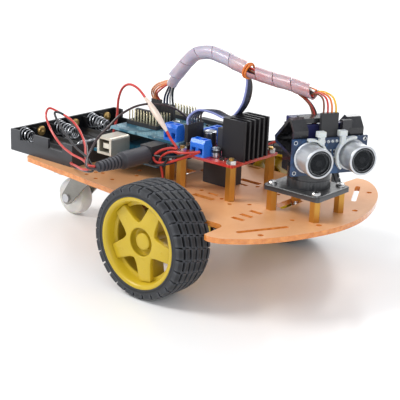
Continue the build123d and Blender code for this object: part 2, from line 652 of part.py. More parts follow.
# ------------------------------------------------ controller and its shield
# Connector footprints: x0, x1, y0, y1
CTRL_STRIPS = [
    (-87.4, -84.9, -4.6, 19.6), (-87.4, -84.9, 21.2, 41.4),
    (-38.0, -35.5, 4.0, 24.2), (-38.0, -35.5, 26.0, 41.2),
]
UNDER_STRIPS = [(-85.9, -84.9, -4.6, 41.4), (-38.0, -35.5, 4.0, 41.2)]
PIN_HEADERS = [(-84.0, -66.4, 0.6, 8.2), (-66.2, -58.6, 0.6, 18.2), (-82.0, -59.0, 34.0, 41.6)]
HEADER_PITCH = 2.5
STRIP_TOP = CTRL_TOP + 8.5


def controller_board():
    board = drilled(box(*CTRL_X, *CTRL_Y, CTRL_Z, CTRL_TOP), CTRL_HOLES, 50, 70)
    chip = box(-55.0, -48.0, 2.0, 37.0, CTRL_TOP + 1.0, CTRL_TOP + 4.5)
    legs = [box(x, x + 0.9, 3.2 + PIN_PITCH * k, 3.8 + PIN_PITCH * k, CTRL_TOP, CTRL_TOP + 2.8)
            for x in (-55.9, -48.0) for k in range(14)]
    crystal = box(-66.5, -62.0, -10.0, 1.0, CTRL_TOP, CTRL_TOP + 3.0)
    return [board, chip, legs, crystal]


def usb_socket():
    body = box(-79.0, -67.0, -30.2, -14.2, CTRL_TOP, SOCKET_TOP)
    body = fillet(body.edges().filter_by(Axis.Y).filter_by(lambda e: e.center().Z > 65), 1.6)
    body = body - box(-77.2, -68.8, -31, -20, CTRL_TOP + 1.6, SHIELD_Z - 1.5)
    return body + box(-75.4, -70.6, -28.5, -19.8, CTRL_TOP + 3.6, CTRL_TOP + 6.8)


def dc_jack():
    body = box(-47.0, -38.0, -25.8, -11.9, CTRL_TOP, SOCKET_TOP)
    body = body - cyl_y(JACK_X, -27, -14.0, JACK_Z, 3.2)
    return body + cyl_y(JACK_X, -24.5, -13.5, JACK_Z, 0.9)


def header_pins(x0, x1, y0, y1):
    return [post(x0 + 1.3 + HEADER_PITCH * i, y0 + 1.3 + HEADER_PITCH * j, 0.3, 0.3,
                 SHIELD_TOP + 2.5, SHIELD_TOP + 8.5)
            for i in range(int((x1 - x0) / HEADER_PITCH))
            for j in range(int((y1 - y0) / HEADER_PITCH))]


def header_strips():
    strips = [box(*area, CTRL_TOP, STRIP_TOP) for area in CTRL_STRIPS]
    strips += [box(*area, STRIP_TOP, SHIELD_Z) for area in UNDER_STRIPS]
    strips += [box(*area, SHIELD_TOP, SHIELD_TOP + 2.5)
               for area in PIN_HEADERS + [(-56.0, -33.0, 38.0, 43.0)]]
    strips.append(box(-84.0, -66.4, 8.6, 11.1, SHIELD_TOP, SHIELD_TOP + 8.5))
    strips.append(box(-84.0, -68.0, 18.7, 21.3, SHIELD_TOP, SHIELD_TOP + 2.55))
    return strips + [header_pins(*area) for area in PIN_HEADERS]


def shield_board():
    board = box(*SHIELD_X, *SHIELD_Y, SHIELD_Z, SHIELD_TOP)
    button_case = post(BUTTON_X, BUTTON_Y, 3, 3, SHIELD_TOP, SHIELD_TOP + 3.6) - cyl_z(
        BUTTON_X, BUTTON_Y, SHIELD_TOP + 0.6, SHIELD_TOP + 5, 1.75)
    capacitors = [cyl_z(-45.0, 20.0, SHIELD_TOP, SHIELD_TOP + 7.0, 2.6),
                  cyl_z(-52.5, 12.0, SHIELD_TOP, SHIELD_TOP + 5.5, 2.5)]
    return [board, button_case, capacitors]


save("controller_board", controller_board())
save("usb_socket", usb_socket())
save("dc_jack", dc_jack())
save("header_strips", header_strips())
save("shield_board", shield_board())
save("reset_button", cyl_z(BUTTON_X, BUTTON_Y, SHIELD_TOP + 1.4, SHIELD_TOP + 5.0, 1.7))


# ----------------------------------------------------------- battery holder
def battery_holder():
    x0, x1, z0, z1 = HOLD_X0, HOLD_X1, HOLD_Z0, HOLD_Z1
    holder = box(x0, x1, HOLD_Y0, HOLD_Y1, z0, z1)
    holder = holder - box(x0 + HOLD_END, x1 - HOLD_END, HOLD_Y0 + HOLD_SIDE,
                          HOLD_Y1 - HOLD_SIDE, z0 + HOLD_FLOOR, z1 + 1)
    # two notches in the top of each side wall
    for y0, y1 in ((HOLD_Y0 - 0.1, HOLD_Y0 + 1.7), (HOLD_Y1 - 1.7, HOLD_Y1 + 0.1)):
        holder = holder - box(x0 + 9, x0 + 22, y0, y1, z0 + 8.0, z1 + 1) - box(
            x0 + 36, x1 - 9, y0, y1, z0 + 8.0, z1 + 1)
    # a ridge between neighbouring cells, with a short rib at each end
    for k in range(1, CELLS):
        y = HOLD_Y0 + HOLD_SIDE + CELL_PITCH * k
        section = [(y - 3.4, z0 + 1.2), (y + 3.4, z0 + 1.2), (y + 1.5, z0 + 3.0),
                   (y + 0.5, z0 + 5.2), (y - 0.5, z0 + 5.2), (y - 1.5, z0 + 3.0)]
        ridge = prism_x(poly(section), x0 + 1.0, x1 - 1.0)
        rear_rib = box(x0 + 1.0, x0 + 6.0, y - 0.6, y + 0.6, z0 + 1.0, z1 - 1.5)
        front_rib = box(x1 - 6.0, x1 - 1.0, y - 0.6, y + 0.6, z0 + 1.0, z1 - 1.5)
        holder = holder + ridge + rear_rib + front_rib
    return drilled(holder, HOLDER_SCREWS, z0 - 1, z0 + 2)


def cell_spring():
    """Conical contact spring, along +X from its base."""
    turns = Helix(pitch=1.55, height=6.2, radius=4.2, cone_angle=-14)
    coil = sweep((turns ^ 0) * Circle(0.34), path=turns)
    return Rot(0, 90, 0) * coil


def cell_contacts():
    """Springs and studs, swapping ends from cell to cell."""
    spring = cell_spring()
    stud = Rot(0, 0, -90) * turn_y([(0, 0), (3.4, 0), (3.4, 0.9), (2.6, 1.4), (0, 1.8)])
    turned = Rot(0, 0, 180)
    rear_x, front_x = HOLD_X0 + HOLD_END + 0.02, HOLD_X1 - HOLD_END - 0.02
    springs, studs = [], []
    for k in range(CELLS):
        y = HOLD_Y0 + HOLD_SIDE + CELL_PITCH * (k + 0.5)
        if k % 2 == 0:
            springs.append(Pos(rear_x + 0.4, y, CELL_Z) * spring)
            studs.append(Pos(front_x, y, CELL_Z) * turned * stud)
        else:
            studs.append(Pos(rear_x, y, CELL_Z) * stud)
            springs.append(Pos(front_x - 0.4, y, CELL_Z) * turned * spring)
    return springs, studs


save("battery_holder", battery_holder())
springs, studs = cell_contacts()
save("battery_springs", springs)
save("battery_studs", studs)


# ------------------------------------------------------------- power plug
def dc_plug():
    """Hollow-tipped barrel, collar and a tapering ribbed sleeve."""
    section = [(1.0, -14.6), (2.75, -14.6), (2.75, -26.2), (5.1, -26.2), (5.1, -27.5),
               (5.1, -46.0), (4.2, -48.0)]
    for k in range(7):
        y = -48.0 - 2.5 * k
        r = 4.1 - 0.16 * k
        section += [(r, y - 0.2), (r, y - 1.6), (r - 1.0, y - 1.7), (r - 1.0, y - 2.45)]
    section += [(2.2, -66.0), (0, -66.0), (0, -26.0), (1.0, -26.0)]
    return turn_y(section, JACK_X, JACK_Z)


save("dc_plug", dc_plug())


# ------------------------------------------------------------ power switch
def switch_body():
    body = switch_block(9.3, 6.3, 43.0, 60.0) + switch_block(10.5, 7.5, 42.5, 43.95)
    body = body + switch_block(9.5, 6.5, 47.05, 60.0)
    body = body - switch_block(8.3, 5.5, 40, 50.5)
    return body - cyl_y(SWITCH_X, SWITCH_Y - 6.25, SWITCH_Y + 6.25, ROCKER_Z, 1.0 + RUN)


def switch_rocker():
    """Rocker with a hollow underside, tilted about its pivot."""
    rocker = switch_block(7.4, 5.3, 41.4, 47.5) - cyl_y(
        SWITCH_X, SWITCH_Y - 10, SWITCH_Y + 10, 29.5, 14.0)
    rocker = rocker + cyl_y(SWITCH_X, SWITCH_Y - 6.15, SWITCH_Y + 6.15, ROCKER_Z, 1.0)
    return (Pos(SWITCH_X, SWITCH_Y, ROCKER_Z) * Rot(0, ROCKER_TILT, 0)
            * Pos(-SWITCH_X, -SWITCH_Y, -ROCKER_Z) * rocker)


switch_lugs = [post(SWITCH_X + dx, SWITCH_Y, 2.4, 0.4, 60.0, 64.5) for dx in (-6.0, 0.5)]
save("switch_body", switch_body(), switch_lugs)
save("switch_rocker", switch_rocker())

# ------------------------------------------------------------------- caster
# Half of the wheel's section: r, y
CASTER_SECTION = [(1.56, -6.6), (4.2, -6.6), (4.6, -5.4), (8.8, -5.0), (10.4, -4.9),
                  (11.8, -3.9), (12.4, -2.0), (CASTER_R, 0)]


def caster_plate():
    """Mounting plate with its bearing race and kingpin."""
    plate = post(CASTER_X, 0, 20, 16, CASTER_Z0, CASTER_Z1)
    plate = fillet(plate.edges().filter_by(Axis.Z), 3.0)
    plate = drilled(plate, CASTER_HOLES, 28, 36)
    race = turn_z([(0, 31.2), (9.0, 31.2), (8.0, 29.15), (0, 29.15)], CASTER_X, 0)
    kingpin = cyl_z(CASTER_X, 0, 27.0, 29.5, 2.5) + cyl_z(CASTER_X, 0, 25.9, 27.38, 4.0)
    return plate + race + kingpin


def caster_fork():
    cheek = make_hull((Pos(CASTER_AXLE_X, CASTER_R) * Circle(4.6)).edges()
                      + (Pos(CASTER_X - 1.0, 28.1) * Rectangle(15, 1.6)).edges())
    fork = prism_y(cheek, -FORK_OUT, -FORK_IN) + prism_y(cheek, FORK_IN, FORK_OUT)
    fork = fork + (cyl_z(CASTER_X, 0, FORK_Z0, FORK_Z1, 9.0) + box(
        CASTER_X - 8.5, CASTER_X + 6.5, -FORK_OUT, FORK_OUT, FORK_Z0, FORK_Z1))
    fork = fork - cyl_z(CASTER_X, 0, 20, 30, 2.5 + RUN)
    return fork - cyl_y(CASTER_AXLE_X, -10, 10, CASTER_R, 1.52)


def caster_axle():
    axle = cyl_y(CASTER_AXLE_X, -8.5, 8.5, CASTER_R, 1.5)
    for y0, y1 in ((-9.6, -8.42), (8.42, 9.6)):
        axle = axle + cyl_y(CASTER_AXLE_X, y0, y1, CASTER_R, 2.9)
    return axle


def caster_wheel():
    section = CASTER_SECTION + [(r, -y) for r, y in reversed(CASTER_SECTION[:-1])]
    return turn_y(section, CASTER_AXLE_X, CASTER_R)


save("caster_plate", caster_plate())
save("caster_fork", caster_fork())
save("caster_axle", caster_axle())
save("caster_wheel", caster_wheel())

# ------------------------------------------------------- pan and tilt head
# Pieces above the base plate are drawn about the pan axis, with X the way the
# head points and Y to its left, and then turned into place by HEAD.
HEAD = Location((*PAN_AXIS, 0), (0, 0, PAN_YAW))


def save_on_head(name, *shapes):
    save(name, *[HEAD * s for s in shapes])


def pan_base_plate():
    x, y, length, width = PAN_PLATE
    base = post(x, y, length / 2, width / 2, PAN_Z, PAN_Z + 3.0)
    base = fillet(base.edges().filter_by(Axis.Z), 2.0)
    base = fillet(base.edges().group_by(Axis.Z)[-1], 0.7)
    base = drilled(base, PAN_HOLES, 50, 70)
    base = base + (cyl_z(*PAN_AXIS, PAN_Z + 2.9, 67.0, 12.25)
                   - cyl_z(*PAN_AXIS, PAN_Z + 4.2, 68, 10.6))
    return (base + cyl_z(*PAN_AXIS, PAN_Z + 3.0, 66.0, 4.6)
            - cyl_z(*PAN_AXIS, 62.5, 67, SERVO_BOSS_R + RUN))


def pan_yoke():
    """Tower round the pan servo, with a deck that carries the tilt servo."""
    tower = box(-18.7, 7.7, -7.9, 7.9, 67.2, DECK_Z)
    pocket = (-16.95, 5.95, -6.15, 6.15)
    yoke = cyl_z(0, 0, 67.2, 73.0, 12.25)
    yoke = yoke + tower
    yoke = yoke - box(*pocket, 60, DECK_Z) - cyl_z(0, 0, 60, 71.4, 10.7) + (
        tower - box(*pocket, 60, 86))
    deck = box(-15.5, 10.0, HEAD_T - 12.2, HEAD_T + 12.2, DECK_Z, 86.95)
    rear = box(-15.5, -13.6, HEAD_T - 11.0, HEAD_T + 11.0, 86.9, 95.0)
    lug = box(TILT_N - 4.5, TILT_N + 4.5, HEAD_T - 12.25, HEAD_T - 11.3, 86.9, 96.5)
    pin = cyl_y(TILT_N, HEAD_T - 15.5, HEAD_T - 12.2, TILT_Z, TILT_PIN_R)
    return yoke + deck + rear + lug + pin


def tilt_servo():
    body = box(TILT_N - 16.7, TILT_N + 6.1, HEAD_T - 11.2, HEAD_T + 11.2, 87.0, 99.2)
    body = fillet(body.edges().filter_by(Axis.Y), 0.8)
    return body + cyl_y(TILT_N, HEAD_T + 11.0, HEAD_T + 14.3, TILT_Z, SERVO_BOSS_R)


def tilt_head():
    """Two cheeks, hollow on their outer sides, joined across the front."""
    cheek = poly([
        (HEAD_N - 3.5, 82.6), (HEAD_N - 2.4, 89.0), (HEAD_N - 2.4, 97.5), (HEAD_N - 6.6, 102.8),
        (HEAD_N - 9.4, 103.4), (HEAD_N - 25.0, 90.0), (HEAD_N - 24.0, 86.6),
    ])
    hollow = offset(cheek, -1.8, kind=Kind.INTERSECTION)
    left_cheek = (prism_y(cheek, HEAD_T + 12.5, HEAD_T + 21.0)
                  - prism_y(hollow, HEAD_T + 14.5, HEAD_T + 22.0)
                  - cyl_y(TILT_N, HEAD_T + 12, HEAD_T + 16, TILT_Z, SERVO_BOSS_R + RUN))
    right_cheek = (prism_y(cheek, HEAD_T - 21.0, HEAD_T - 12.5)
                   - prism_y(hollow, HEAD_T - 22.0, HEAD_T - 14.5)
                   - cyl_y(TILT_N, HEAD_T - 16, HEAD_T - 12, TILT_Z, TILT_PIN_R + RUN))
    head = left_cheek + right_cheek + box(
        HEAD_N - 5.0, HEAD_N - 3.0, HEAD_T - 13.0, HEAD_T + 13.0, 83.5, 91.0)
    # shroud over the servo
    head = head + box(TILT_N + 0.2, HEAD_N - 6.6, HEAD_T - 13.6, HEAD_T - 2.6, 100.5, 103.0)
    return head + box(HEAD_N - 5.4, HEAD_N - 2.5, HEAD_T + 8.0, HEAD_T + 13.6, 94.8, 102.0)


def sensor_board():
    board = box(HEAD_N - 1.6, HEAD_N, HEAD_T - 22.5, HEAD_T + 22.5, SENSOR_Z - 10, SENSOR_Z + 10)
    for a in SIDES:
        for b in SIDES:
            board = board - cyl_x(
                HEAD_N - 3, HEAD_N + 2, HEAD_T + a * 20.8, SENSOR_Z + b * 8.3, 0.8)
    chip = box(HEAD_N - 2.7, HEAD_N - 1.62, HEAD_T - 4, HEAD_T + 4, SENSOR_Z - 8, SENSOR_Z - 2)
    crystal = box(HEAD_N + 0.02, HEAD_N + 2.2, HEAD_T - 2.2, HEAD_T + 2.2,
                  SENSOR_Z - 9.0, SENSOR_Z - 5.0)
    return board, chip, crystal


def sensor_can(s):
    y = HEAD_T + s * 13.0
    can = cyl_x(HEAD_N + 0.02, HEAD_N + 13.1, y, SENSOR_Z, 8.0)
    can = can - cyl_x(HEAD_N + 11.4, HEAD_N + 14, y, SENSOR_Z, 6.0)
    front_rim = can.edges().filter_by(GeomType.CIRCLE).filter_by(
        lambda e: e.radius > 7.9).group_by(Axis.X)[-1]
    return fillet(front_rim, 0.7)


def cable_tie(s):
    """Narrow tie: an arc round the can's foot, then over the board's top edge to the head."""
    y = HEAD_T + s * 13.0
    strap_y = y - s * 6.6
    arc = Circle(10.4) - Circle(9.2)
    keep = poly([(0, 0), (-s * 14, -14), (-s * 14, 14), (s * 2.0, 14)])
    band = Pos(HEAD_N + 0.1, y, SENSOR_Z) * prism_x(arc & keep, 0.0, 2.6)
    for x0, z0 in ((HEAD_N - 3.2, SENSOR_Z + 10.1), (HEAD_N + 0.1, SENSOR_Z + 6.9)):
        band = band + box(x0, HEAD_N + 2.7, strap_y - 1.3, strap_y + 1.3, z0, SENSOR_Z + 11.2)
    lump = box(HEAD_N - 1.4, HEAD_N + 2.2, strap_y - 2.2, strap_y + 2.2,
               SENSOR_Z + 11.0, SENSOR_Z + 13.8)
    return band + lump


# sideways places of the sensor's four pins
SENSOR_PINS = [HEAD_T - 3.81 + PIN_PITCH * k for k in range(4)]


def sensor_plug():
    body = box(HEAD_N - 4.8, HEAD_N - 2.2, HEAD_T - 5.1, HEAD_T + 5.1, SENSOR_Z + 9.6, 106.4)
    body = fillet(body.edges().filter_by(Axis.Z), 0.3)
    pins = [post(HEAD_N - 3.5, y, 0.3, 0.3, SENSOR_Z + 7.6, SENSOR_Z + 9.6) for y in SENSOR_PINS]
    return [body] + pins


save("pan_base_plate", pan_base_plate())
save_on_head("pan_servo", box(-16.9, 5.9, -6.1, 6.1, 67.35, 85.3)
             + cyl_z(0, 0, 63.0, 67.5, SERVO_BOSS_R))
save_on_head("pan_yoke", pan_yoke())
save_on_head("tilt_servo", tilt_servo())
save_on_head("tilt_head", tilt_head())
save_on_head("sensor_board", *sensor_board())
save_on_head("sensor_cans", *[sensor_can(s) for s in SIDES])
save_on_head("cable_ties", *[cable_tie(s) for s in SIDES])
save_on_head("sensor_plug", *sensor_plug())

# ------------------------------------------------------------------- wiring
# Each route is a list of (x, y, z) points for a spline.
BUNDLE = [
    (-49.0, 0, 99.4), (-44.5, 0, 102.3), (-40.8, 0, 106.6), (-37.5, 0, 112.4),
    (-32.2, 0, 119.6), (-25.1, 0, 124.4), (-16.1, 0, 126.2), (-4.1, 0, 124.2),
    (4.8, 0, 121.2), (12.5, 0, 118.9), (20.7, 0, 117.9), (31.9, 0, 116.4),
    (43.5, 0, 114.9), (57.0, 0, 113.5),
]
# Wires from the shield up to the rear end of the bundle
FAN = [
    [(-77, 20, 85.6), (-75, 18, 90.0), (-66, 9, 95.5), (-55, 1.6, 97.2), (-50.2, 0.8, 98.6)],
    [(-74, 20, 85.6), (-72.5, 17, 89.0), (-64, 8, 93.5), (-54, 0.0, 95.6), (-50.0, -0.6, 97.2)],
    [(-68, 38, 85.6), (-66, 34, 91.0), (-60, 20, 96.0), (-53, 3.6, 98.4), (-50.0, 2.0, 99.8)],
    [(-62, 38, 85.6), (-60.5, 34, 88.0), (-56, 18, 92.5), (-50, 1.8, 95.0), (-48.6, 0.6, 96.4)],
]
POWER_ROUTES = [
    # two from the battery holder's right side to the power plug
    [(-92.6, -39.0, 51.0), (-96.0, -42.5, 54.5), (-103.0, -44.0, 62.0), (-110.6, -43.0, 67.6),
     (-116.3, -39.5, 73.8), (-117.5, -34.5, 79.4), (-110.4, -33.0, 78.8), (-97.3, -34.0, 76.0),
     (-86.0, -38.0, 72.1), (-74.5, -45.0, 67.6), (-60.0, -58.0, 64.8), (-48.5, -67.6, 64.4),
     (-43.6, -66.9, 64.4)],
    [(-92.6, -39.0, 49.2), (-95.5, -40.6, 52.2), (-101.0, -41.8, 60.0), (-108.0, -41.6, 66.8),
     (-113.6, -37.5, 73.8), (-113.6, -33.6, 76.0), (-108.0, -31.6, 75.6), (-96.5, -33.0, 73.2),
     (-86.0, -36.6, 69.4), (-75.5, -42.6, 65.6), (-62.0, -55.0, 62.6), (-48.5, -66.0, 62.4),
     (-43.6, -66.9, 62.8)],
    # from the power plug to the driver's three-way terminal
    [(-41.4, -67.2, 63.2), (-46.0, -70.0, 64.0), (-52.6, -64.5, 66.4), (-59.0, -54.5, 69.4),
     (-63.0, -45.5, 73.5), (-61.3, -38.0, 79.8), (-57.9, -32.0, 86.4), (-53.5, -22.0, 91.2),
     (-47.0, -14.0, 92.2), (-39.1, -3.0, 88.6), (-32.0, 5.0, 79.0), (-28.6, 10.2, 72.6),
     (-26.0, 10.2, 72.0)],
    # from in front of the battery holder to the driver's right terminal
    [(-92.6, -4.5, 52.0), (-90.8, -4.0, 62.0), (-89.2, -3.0, 76.0), (-85.0, -4.8, 89.9),
     (-78.0, -5.0, 97.3), (-70.0, -5.2, 96.5), (-62.0, -6.0, 91.5), (-52.0, -10.0, 84.5),
     (-44.0, -14.6, 76.5), (-36.0, -18.6, 72.4), (-27.0, -21.6, 70.8), (-15.0, -22.2, 71.6),
     (-11.54, -19.6, 71.9)],
]


def ribbon_route(y):
    """From the driver header's plug at y up to the gap in the spiral wrap."""
    d = y + 5
    return [(-23.4, y, 83.8), (-23.3, y + 1.0, 87.5), (-19.7, 1.6 + 0.35 * d, 91.5),
            (-11.0, 2.0 + 0.35 * d, 93.2), (-3.0, 2.0 + 0.35 * d, 94.0),
            (4.8, 2.0 + 0.35 * d, 96.5), (9.6, 1.0 + 0.3 * d, 103.6),
            (11.4, 0.3 + 0.25 * d, 111.6)]


def head_point(n, t, z):
    """Point n ahead and t to the left of the pan axis, in the car's frame."""
    c, s = math.cos(math.radians(PAN_YAW)), math.sin(math.radians(PAN_YAW))
    return (PAN_AXIS[0] + n * c - t * s, PAN_AXIS[1] + n * s + t * c, z)


def sensor_route(k):
    """From the front end of the bundle down to pin k of the sensor plug."""
    spread = k - 1.5
    return [(57.6, spread * 1.35, 113.5), (61.0, spread * 1.5 - 0.3, 114.3),
            head_point(HEAD_N - 5.2, HEAD_T + spread * 2.1, 112.6),
            head_point(HEAD_N - 3.5, SENSOR_PINS[k], 108.6),
            head_point(HEAD_N - 3.5, SENSOR_PINS[k], 106.5)]


def motor_route(s, k):
    """From motor tab k, under the plate, up through the slot and to the driver."""
    off = 1.6 * k
    route = [(-CAN_X1 - 5.0, s * (-MOTOR_Y - 5 + 10 * k), AXLE_Z),
             (-CAN_X1 - 7.4 - 1.8 * k, s * (26.0 + 2 * k), AXLE_Z + 2.5 - 1.8 * k),
             (-CAN_X1 - 2.0 - 1.8 * k, s * (17.5 + k), 37.5),
             (-42.0, s * (15.0 + 1.8 * k), 38.8), (-35.4, s * (17.2 + off), 41.6),
             (-33.0, s * (20.0 + off), 46.0), (-33.4, s * (21.0 + off), 54.0),
             (-32.6, s * (24.0 + off), 63.0)]
    if s < 0:
        return route + [(-24.0, -25.4, 69.4), (-13.0, -24.6, 70.9), (-6.46, -20.4, 71.9)]
    return route + [(-26.0, 28.0 + off, 69.4), (-16.0, 29.0 + off, 70.9),
                    (-11.54 + 5.08 * k, 25.4, 71.9)]


bundle_path = Spline(*BUNDLE)
wrap = sweep((bundle_path ^ 0) * (Circle(WRAP_RO) - Circle(WRAP_RI)), path=bundle_path)
save("spiral_wrap", wrap - box(9.3, 12.6, -6, 6, 105, 135))

housings = [box(-80.0, -72.4, 18.7, 21.3, SHIELD_TOP + 2.6, 85.4),
            box(-71.0, -60.4, 36.7, 39.3, SHIELD_TOP + 8.6, 85.4)]
save("jumper_wires",
     sweep((bundle_path ^ 0) * Circle(BUNDLE_R), path=bundle_path),
     [wire(route, JUMPER_R) for route in FAN],
     housings,
     [wire(ribbon_route(y), JUMPER_R) for y in (-10.8, -6.0, -1.2)])
save("sensor_cable", [wire(sensor_route(k), SENSOR_WIRE_R) for k in range(4)])

# the right motor has one lead, the left motor two
motor_routes = [motor_route(s, k) for s, k in ((-1, 0), (1, 0), (1, 1))]
save("power_leads", [wire(route, WIRE_R) for route in POWER_ROUTES + motor_routes])
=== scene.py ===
"""Two-wheeled robot car with a pan and tilt distance sensor.

Lengths are in millimetres unless a comment says metres; Shape.make converts them to metres.
+X is the front of the car, +Y its left, +Z up. The floor is z = 0 and the drive axle lies
along Y through x = 0. Shader distances are in metres.
"""
import math
import random

import bmesh
import bpy
import numpy as np
from mathutils import Matrix, Vector

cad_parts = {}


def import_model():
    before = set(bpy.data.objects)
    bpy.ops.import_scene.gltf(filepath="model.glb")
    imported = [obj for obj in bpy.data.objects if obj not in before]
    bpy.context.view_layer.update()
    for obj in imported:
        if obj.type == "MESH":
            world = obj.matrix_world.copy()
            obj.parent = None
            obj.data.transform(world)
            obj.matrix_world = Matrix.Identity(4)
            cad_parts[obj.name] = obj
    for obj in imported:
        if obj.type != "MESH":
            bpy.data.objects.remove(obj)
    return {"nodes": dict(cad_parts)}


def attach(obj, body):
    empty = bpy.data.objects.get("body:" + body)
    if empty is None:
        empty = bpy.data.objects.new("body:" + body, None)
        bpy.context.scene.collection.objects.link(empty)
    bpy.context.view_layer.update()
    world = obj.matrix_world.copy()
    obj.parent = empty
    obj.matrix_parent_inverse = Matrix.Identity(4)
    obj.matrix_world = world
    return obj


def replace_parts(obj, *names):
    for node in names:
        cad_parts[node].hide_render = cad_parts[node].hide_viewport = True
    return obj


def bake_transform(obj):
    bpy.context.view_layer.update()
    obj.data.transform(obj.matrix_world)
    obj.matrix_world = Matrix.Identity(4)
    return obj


MM = 0.001              # metres in a millimetre
AXLE_Z = 32.5           # height of the drive axle and the motors
WHEEL_Y = 65.0          # centre plane of each wheel, either side
MOTOR_Y = 37.4          # motor axis, either side
DRIVER_TOP = 68.6       # upper face of the red driver board
SHIELD_TOP = 71.2       # upper face of the teal shield board
PIN_PITCH = 2.54
SIDES = (("right", -1), ("left", 1))

random.seed(7)          # fixes any random draw made inside the helpers
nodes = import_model()["nodes"]


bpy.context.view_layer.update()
scene = bpy.context.scene
scene.view_settings.view_transform = "Standard"
scene.view_settings.look = "None"
scene.view_settings.exposure = 0.0
scene.view_settings.gamma = 1.0


# ======================================================== shader building
MATERIALS = {}


def linear(color):
    """Linear RGB of a "#RRGGBB" string; a tuple is passed through."""
    if not isinstance(color, str):
        return color
    out = []
    for i in (1, 3, 5):
        c = int(color[i:i + 2], 16) / 255
        out.append(c / 12.92 if c <= 0.04045 else ((c + 0.055) / 1.055) ** 2.4)
    return tuple(out)


def scaled(color, factor):
    return tuple(v * factor for v in linear(color))


class Shader:
    """A new material and short calls for wiring its nodes."""

    def __init__(self, name):
        material = bpy.data.materials.new(name)
        material.use_nodes = True
        MATERIALS[name] = material
        self.tree = material.node_tree
        self.principled = self.tree.nodes["Principled BSDF"]
        self.coords = self.node("ShaderNodeTexCoord").outputs["Object"]

    def node(self, kind, **props):
        node = self.tree.nodes.new(kind)
        for key, value in props.items():
            setattr(node, key, value)
        return node

    def link(self, source, target):
        self.tree.links.new(source, target)

    def mapped(self, scale):
        """Object coordinates scaled per axis."""
        mapping = self.node("ShaderNodeMapping")
        mapping.inputs["Scale"].default_value = scale
        self.link(self.coords, mapping.inputs["Vector"])
        return mapping.outputs["Vector"]

    def noise(self, scale, detail=4.0, rough=0.55, stretch=None):
        node = self.node("ShaderNodeTexNoise")
        node.inputs["Scale"].default_value = scale
        node.inputs["Detail"].default_value = detail
        node.inputs["Roughness"].default_value = rough
        self.link(self.mapped(stretch) if stretch else self.coords, node.inputs["Vector"])
        return node.outputs["Fac"]

    def ramp(self, value, stops):
        """stops: (position, colour) pairs in rising order."""
        node = self.node("ShaderNodeValToRGB")
        elements = node.color_ramp.elements
        for element, (position, color) in ((elements[0], stops[0]), (elements[1], stops[-1])):
            element.position = position
            element.color = (*linear(color), 1)
        for position, color in stops[1:-1]:
            elements.new(position).color = (*linear(color), 1)
        self.link(value, node.inputs["Fac"])
        return node.outputs["Color"]

    def tones(self, value, color, vary):
        """The colour, darker and lighter by the share vary."""
        return self.ramp(value, [(0.30, scaled(color, 1 - vary)), (0.70, scaled(color, 1 + vary))])

    def remap(self, value, over, to):
        """Carry the range over = (low, high) onto to = (low, high)."""
        node = self.node("ShaderNodeMapRange")
        node.inputs["From Min"].default_value, node.inputs["From Max"].default_value = over
        node.inputs["To Min"].default_value, node.inputs["To Max"].default_value = to
        self.link(value, node.inputs["Value"])
        return node.outputs["Result"]

    def calc(self, operation, *values):
        node = self.node("ShaderNodeMath", operation=operation)
        for socket, value in zip(node.inputs, values):
            if isinstance(value, (int, float)):
                socket.default_value = value
            else:
                self.link(value, socket)
        return node.outputs[0]

    def mix(self, factor, first, second):
        """Colour mix; first and second are sockets, tuples or hex strings."""
        node = self.node("ShaderNodeMix", data_type="RGBA")
        self.link(factor, node.inputs["Factor"])
        for index, color in ((6, first), (7, second)):
            color = linear(color)
            if isinstance(color, tuple):
                node.inputs[index].default_value = (*color, 1)
            else:
                self.link(color, node.inputs[index])
        return node.outputs[2]

    def bump(self, height, distance, strength=0.6, below=None):
        node = self.node("ShaderNodeBump")
        node.inputs["Strength"].default_value = strength
        node.inputs["Distance"].default_value = distance
        self.link(height, node.inputs["Height"])
        if below is not None:
            self.link(below, node.inputs["Normal"])
        return node.outputs["Normal"]

    def geometry(self, output):
        return self.node("ShaderNodeNewGeometry").outputs[output]

    def split(self, vector):
        node = self.node("ShaderNodeSeparateXYZ")
        self.link(vector, node.inputs[0])
        return node.outputs

    def edges(self, amount, over=(0.52, 0.6)):
        """Mask of convex edges, scaled by amount."""
        mask = self.remap(self.geometry("Pointiness"), over=over, to=(0.0, 1.0))
        return self.calc("MULTIPLY", mask, amount)

    def set(self, key, value):
        socket = self.principled.inputs[key]
        if isinstance(value, tuple):
            socket.default_value = (*value, 1)
        elif isinstance(value, (int, float)):
            socket.default_value = value
        else:
            self.link(value, socket)


